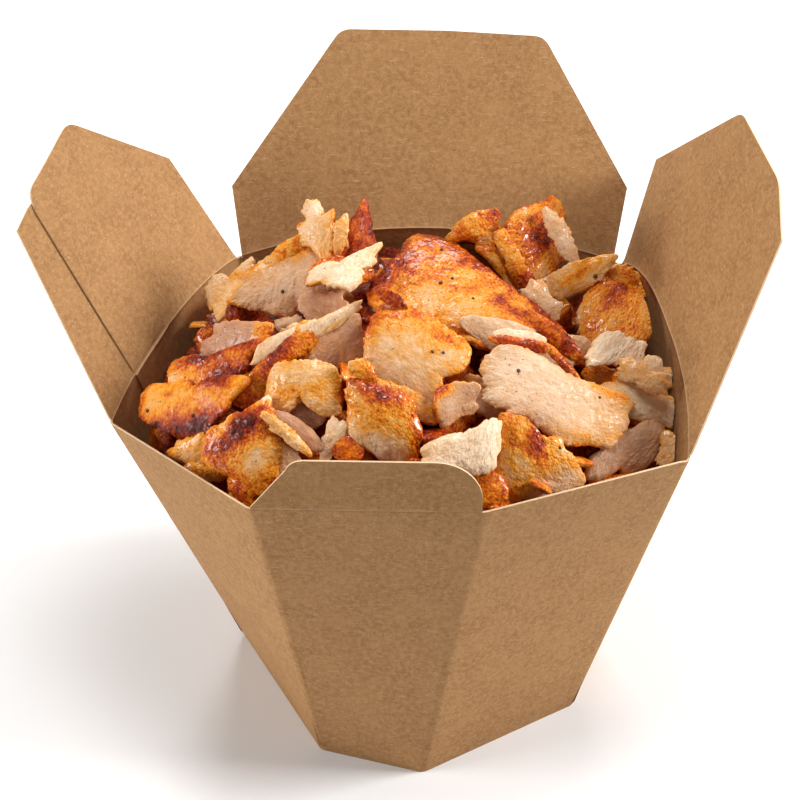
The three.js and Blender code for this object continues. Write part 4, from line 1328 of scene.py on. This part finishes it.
def browned(u, v, out, flat, seed, look, side):
    """How browned a slice's skin is at each place."""
    towards_edge = np.clip((out - EDGE_BROWN_FROM) / (1 - EDGE_BROWN_FROM), 0, 1)
    brown = (look.upper if side > 0 else look.lower) + look.edge * towards_edge ** 2
    share = 1.0 if side > 0 else UNDER_SHARE
    for spot_u, spot_v, reach_u, reach_v, amount in look.spots:
        far = np.hypot((u - spot_u) / reach_u, (v - spot_v) / reach_v)
        brown = brown + share * amount * np.exp(-far ** 2)
    patchy = uneven(BROWN_PATCHES, flat, seed + 8) + uneven(BROWN_FLECKS, flat, seed + 10)
    return np.clip(brown + patchy * np.clip(brown * 4, 0.3, 1), 0, 1)


def wall_planes():
    """Planes the meat stays inside, as a point, the normal that points in, and the heights they span.

    There is one for each wall up to its top, and one for each flap folded in as far as it goes."""
    low, high, _, _ = carton_columns()
    low, high = low[::WALL_SAMPLE], high[::WALL_SAMPLE]
    normal = unit(np.cross(high - low, np.roll(high, -1, 0) - high))
    at = high + normal * (BOARD + MEAT_GAP)
    spans = [(0.0, top + WALL_OVERLAP) for top in high[:, 2]]
    hinges = {hinge["child"]: hinge for hinge in frame["record"]["behaviour"]["joints"]}
    for node, flap in FLAPS.items():
        folded = flap["lean"] + hinges[node + "_body"]["range_deg"][0]
        side = SIDES[flap["side"]]
        plane = LeaningPlane(*side.chord(np.array([0.0, 1.0])), folded)
        middle = plane.at(plane.length / 2, side.top.rise / 2)
        inner = unit(np.cross(plane.slope, plane.along))
        inner = inner * np.sign(-(inner * middle * (1, 1, 0)).sum())
        at = np.vstack([at, middle + inner * (BOARD + FLAP_GAP)])
        normal = np.vstack([normal, inner])
        spans.append((middle[2], math.inf))
    return at, normal, np.array(spans)


def stepped_in(points):
    """How far each point must move to be inside the walls and the folded flaps."""
    at, normal, spans = WALLS
    height = points[:, 2:]
    short = (at * normal).sum(1) - points @ normal.T
    short[(height < spans[:, 0]) | (height > spans[:, 1])] = 0
    worst = short.argmax(1)
    return normal[worst] * np.maximum(short.max(1), 0)[:, None]


def kept_inside(points):
    """Points moved one by one until they clear the walls."""
    for _ in range(POINT_PASSES):
        points = points + stepped_in(points)
    return points


def moved_inside(part):
    """A loose scrap moved as a whole until it clears the walls."""
    points = part[0]
    for _ in range(SCRAP_PASSES):
        steps = stepped_in(points)
        points = points + steps[np.linalg.norm(steps, axis=1).argmax()] * (1, 1, 0)
    return (points, *part[1:])


def add_meat(name, parts, *nodes):
    """One piece of meat from the meshes of one or more slices."""
    starts = np.cumsum([0] + [len(part[0]) for part in parts])
    joined = (np.concatenate([part[k] for part in parts]) for k in (0, 2, 3, 4, 5))
    points, brown, mauve, grain, laid = joined
    points = kept_inside(points)
    faces = np.concatenate([part[1] + start for part, start in zip(parts, starts)])
    carries = {"brown": brown, "mauve": mauve, "grain": grain, "flat_mm": laid}
    piece = add_piece(name, metres(points), faces, [roast], None, carries)
    put_in_carton(piece, "meat", *nodes)


# ---- pepper ----
# How many whole peppercorns stick to each slice, and how large they are, in millimetres.
PEPPERCORNS = {
    "slice_left_gold": 3,
    "slice_upper_left": 1,
    "slice_centre": 2,
    "slice_crown": 5,
    "slice_big_pale": 2,
    "slice_front_brown": 1,
    "slice_thin_right": 1,
}
CORN_RADIUS = (0.25, 0.5)
SPECK_RADIUS = (0.07, 0.15)
SPECKS_PER_AREA = 0.035
ROUND_FROM = 0.3
ROUND_STEPS = 6
SPECK_STEPS = 2


def pebble(radius, steps, seed):
    """Points and faces of a wrinkled round grain, from a cube whose grid is drawn out to a ball."""
    grid = np.linspace(-1, 1, steps + 1)
    a, b = np.meshgrid(grid, grid, indexing="ij")
    points, faces = [], []
    index = np.arange(a.size).reshape(a.shape)
    for axis in range(3):
        for side in (1, -1):
            face = np.stack([a, b * side, np.full(a.shape, float(side))], -1)
            points.append(np.roll(face, axis, -1).reshape(-1, 3))
            faces.append(np.stack(grid_corners(index), -1).reshape(-1, 4) + a.size * len(faces))
    ball = unit(np.concatenate(points))
    wrinkled = 1 + 0.25 * swells(ball * 1.5 + seed, 0.6, seed)
    return ball * wrinkled[:, None] * radius, np.concatenate(faces)


def peppered(shape, mesh, corns, brown):
    """Where pepper sits on a slice's upper side, with its radius."""
    points, laid = mesh[0], mesh[-1]
    length, width, _ = shape.size
    upper = laid[:, 2] > laid[:, 2].max() - 1
    points, laid = points[upper], laid[upper]
    specks = int(length * width * SPECKS_PER_AREA * (1 + 2 * min(brown, 0.4)))
    grounds = []
    for reach, limits, count in ((0.7, CORN_RADIUS, corns), (0.95, SPECK_RADIUS, specks)):
        for _ in range(count):
            grounds.append((*chance.uniform(-reach, reach, 2), chance.uniform(*limits)))
    seats = []
    for u, v, radius in grounds:
        far = np.hypot(laid[:, 0] - u * length / 2, laid[:, 1] - v * width / 2)
        outward = (bent(shape, u, v, 1.0) - bent(shape, u, v, 0.0)) @ turned(shape.turn).T
        if far.min() < 1:
            seats.append((points[far.argmin()] + outward * radius * 0.1, radius))
    return seats


def add_pepper(seats):
    """All the pepper, as one piece."""
    points, faces, count = [], [], 0
    for seed, (at, radius) in enumerate(seats):
        grain, quads = pebble(radius, ROUND_STEPS if radius > ROUND_FROM else SPECK_STEPS, seed)
        points.append(grain + at)
        faces.append(quads + count)
        count += len(grain)
    piece = add_piece("ground_pepper", metres(np.concatenate(points)), np.concatenate(faces), [pepper])
    put_in_carton(piece, "meat")


def add_slices():
    """The named slices, the loose scraps between them, and the pepper."""
    seats = []
    for seed, (name, shape) in enumerate(SLICES.items()):
        look = LOOKS[name]
        mesh = slice_mesh(shape, seed, look, OUTLINES.get(name, ()))
        add_meat(name + "_meat", [mesh], name)
        seats += peppered(shape, mesh, PEPPERCORNS.get(name, 0), look.upper)
    loose = []
    for seed, (name, shape) in enumerate(SCRAPS.items(), SCRAP_SEED):
        mesh = slice_mesh(shape, seed, LOOKS[name], OUTLINES.get(name, LEAF))
        loose.append(moved_inside(mesh))
    add_meat("loose_scraps", loose, "packed_meat")
    add_pepper(seats)


WALLS = wall_planes()
chance = np.random.default_rng(7)
add_slices()

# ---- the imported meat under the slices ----
HEAP = {"edge": 86, "crown": 107, "fullness": 0.9, "middle": (-6, -2), "reach": (64, 52), "lump": 1.2}
# The core: how far it lies below the heap's face, how much it is drawn in from the walls, its brown
# (partly browning and partly painted shade for the gaps it shows through), which of the wall's lines it
# uses, and the levels and shares at which its rings stand.
CORE_BELOW = 4.0
CORE_SHARE = 0.95
CORE_BROWN_AND_SHADE = 0.6
CORE_SAMPLE = 4
CORE_LEVELS = (0.02, 0.3, 0.6, 0.84)
CORE_RINGS = (0.85, 0.68, 0.5, 0.3, 0.12)
# The filler: how many scraps, at what share of the walls' height they end, and how near the walls.
FILLER_COUNT = 170
FILLER_BRIM = 0.88
FILLER_REACH = 0.93
# Limits of a filler scrap's length, width and thickness, then of its taper, skew, curl and cup.
FILLER_SIZE = ((9, 17), (6, 11), (2.0, 3.2))
FILLER_SHAPE = ((-0.3, 0.3), (-0.4, 0.4), (15, 60), (15, 40))
FILLER_RAGGED = 0.8
FILLER_TILT = ((6, 18), (0, 18))
# How brown the filler scraps are: partly browning and partly painted shade, dark so that the gaps
# between the slices look shaded.
FILLER_BROWN_AND_GAP_SHADE = (0.25, 0.7)
FILLER_SPOT = 0.6
# The turn, in radians, that spreads points evenly over a disc.
GOLDEN_TURN = 2.39996
# The heap's fall beside the left and right walls, in millimetres.
SIDE_FALL = {"from": 44, "over": 10, "by": 6}


def heap_height(x, y):
    """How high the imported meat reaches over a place: a dome with lumps."""
    dx = (x - HEAP["middle"][0]) / HEAP["reach"][0]
    dy = (y - HEAP["middle"][1]) / HEAP["reach"][1]
    rise = (HEAP["crown"] - HEAP["edge"]) * np.maximum(0, 1 - dx * dx - dy * dy) ** HEAP["fullness"]
    lump = np.sin(x / 5 + 2) * np.cos(y / 6) + np.sin((x - y) / 4)
    return HEAP["edge"] + rise + HEAP["lump"] * lump


def filler_slices():
    """Scraps of meat lying every way over the core, that fill the gaps between the slices."""
    low, high, _, _ = carton_columns()
    brim = mix(low, high, FILLER_BRIM)
    centre = np.array([*HEAP["middle"], 0.0])
    parts = []
    for k in range(FILLER_COUNT):
        share = math.sqrt((k + 0.5) / FILLER_COUNT)
        heading = k * GOLDEN_TURN
        bearing = unit(brim[:, :2] - centre[:2]) @ (math.cos(heading), math.sin(heading))
        edge = brim[np.argmax(bearing)]
        x, y = mix(centre, edge, share * FILLER_REACH)[:2]
        size = tuple(chance.uniform(*limits) * (1 - 0.25 * share) for limits in FILLER_SIZE)
        slope_x = (heap_height(x + 2, y) - heap_height(x - 2, y)) / 4
        slope_y = (heap_height(x, y + 2) - heap_height(x, y - 2)) / 4
        turn = (
            math.degrees(math.atan(slope_y)) + chance.normal(*FILLER_TILT[0]),
            -math.degrees(math.atan(slope_x)) + chance.normal(*FILLER_TILT[1]),
            chance.uniform(0, 180),
        )
        height = heap_height(x, y) + 0.5 - 3 * share ** 2 + chance.uniform(-0.8, 0.8)
        height -= SIDE_FALL["by"] * np.clip((abs(x) - SIDE_FALL["from"]) / SIDE_FALL["over"], 0, 1)
        bends = [chance.uniform(*limits) for limits in FILLER_SHAPE]
        shape = Slice((x, y, height), turn, size, *bends, FILLER_RAGGED)
        base = chance.uniform(*FILLER_BROWN_AND_GAP_SHADE)
        spots = [(0, 0, FILLER_SPOT, FILLER_SPOT, chance.uniform(0, 0.2))]
        edge, mauve = chance.uniform(0, 0.1), chance.uniform(0, 0.8)
        look = Look(base, base, edge, mauve, spots, chance.uniform(0.4, 1))
        parts.append(moved_inside(slice_mesh(shape, FILLER_SEED + k, look, (), FILLER_STEP)))
    return parts


def core():
    """What the filler rests on: the inside of the walls up to a lumpy dome below them."""
    low, high, _, _ = carton_columns()
    low, high = low[::CORE_SAMPLE], high[::CORE_SAMPLE]
    rings = []
    for level in CORE_LEVELS:
        ring = mix(low, high, level)
        middle = ring.mean(0)
        rings.append(middle + (ring - middle) * (CORE_SHARE, CORE_SHARE, 1))
    brim = rings[-1]
    centre = np.array([*HEAP["middle"], 0.0])
    for share in CORE_RINGS:
        ring = mix(centre, brim * (1, 1, 0), share)
        ring[:, 2] = heap_height(ring[:, 0], ring[:, 1]) - CORE_BELOW
        rings.append(ring)
    count = len(low)
    ends = [[0, 0, FLOOR + MEAT_GAP], [*centre[:2], HEAP["crown"] - CORE_BELOW]]
    points = np.concatenate([*rings, ends])
    bottom, top = len(points) - 2, len(points) - 1
    last = (len(rings) - 1) * count
    faces = []
    for r in range(len(rings) - 1):
        faces += ring_quads(r * count, (r + 1) * count, count)
    faces += [[ahead, here, middle] for here, ahead, middle in ring_cap(0, bottom, count)]
    faces += ring_cap(last, top, count)
    # The core's dark brown is partly browning and partly painted shade for the gaps it shows through.
    brown = np.full(len(points), CORE_BROWN_AND_SHADE)
    carries = {"brown": brown, "mauve": 0 * brown, "grain": 0 * brown, "flat_mm": points}
    piece = add_piece("packed_meat_core", metres(points), faces, [roast], None, carries)
    put_in_carton(piece, "meat", "packed_meat")


core()
add_meat("packed_meat_scraps", filler_slices(), "packed_meat")

# ---- table, light and camera ----
# Where the camera looks, in millimetres from the foot's middle, from how far and from how high.
CAMERA_AT = (-4.9, 23.7, 60)
CAMERA_DISTANCE = 500
CAMERA_UP = 42
CAMERA_LENS = 90
SENSOR = 36
LIT = Vector((0, 0, 0.08))
SOFTBOXES = {
    "left_softbox": ((-0.75, -0.15, 0.35), 0.35, 4.4),
    "right_softbox": ((0.75, 0, 0.5), 0.3, 8.6),
    "top_softbox": ((0, 0.1, 1.0), 0.3, 4.2),
    "rear_softbox": ((0, 0.8, 0.6), 0.4, 4.0),
}
TABLE_REACH = 2.5
TABLE_GREY = 0.93
SKY = 0.12


def add_table():
    mesh = bpy.data.meshes.new("table")
    corners = [(x * TABLE_REACH, y * TABLE_REACH, 0) for x, y in ((-1, -1), (1, -1), (1, 1), (-1, 1))]
    mesh.from_pydata(corners, [], [(0, 1, 2, 3)])
    finish = Finish("pale_table", Specular_IOR_Level=0.2, Roughness=0.8)
    mesh.materials.append(finish.shade(Base_Color=(TABLE_GREY, TABLE_GREY, TABLE_GREY, 1)))
    add_object("table", mesh)


def add_softbox(name, at, size, power):
    """A square lamp that faces the meat, all in metres and watts."""
    light = bpy.data.lights.new(name, "AREA")
    light.size = size
    light.energy = power
    lamp = add_object(name, light)
    lamp.location = at
    lamp.rotation_euler = (LIT - lamp.location).to_track_quat("-Z", "Y").to_euler()


def add_camera():
    camera = add_object("camera", bpy.data.cameras.new("camera"))
    up = math.radians(CAMERA_UP)
    back = np.array([0, -math.cos(up), math.sin(up)]) * CAMERA_DISTANCE
    camera.location = metres(np.array(CAMERA_AT) + back)
    camera.rotation_euler = (math.pi / 2 - up, 0, 0)
    camera.data.lens = CAMERA_LENS
    camera.data.sensor_width = SENSOR
    camera.data.clip_start = 0.01
    bpy.context.scene.camera = camera


def add_sky(strength):
    world = bpy.data.worlds.new("studio")
    bpy.context.scene.world = world
    world.use_nodes = True
    background = world.node_tree.nodes["Background"]
    background.inputs["Color"].default_value = (1, 1, 1, 1)
    background.inputs["Strength"].default_value = strength


add_table()
add_sky(SKY)
for lamp_name, placing in SOFTBOXES.items():
    add_softbox(lamp_name, *placing)
add_camera()
bpy.context.scene.view_settings.view_transform = "Standard"
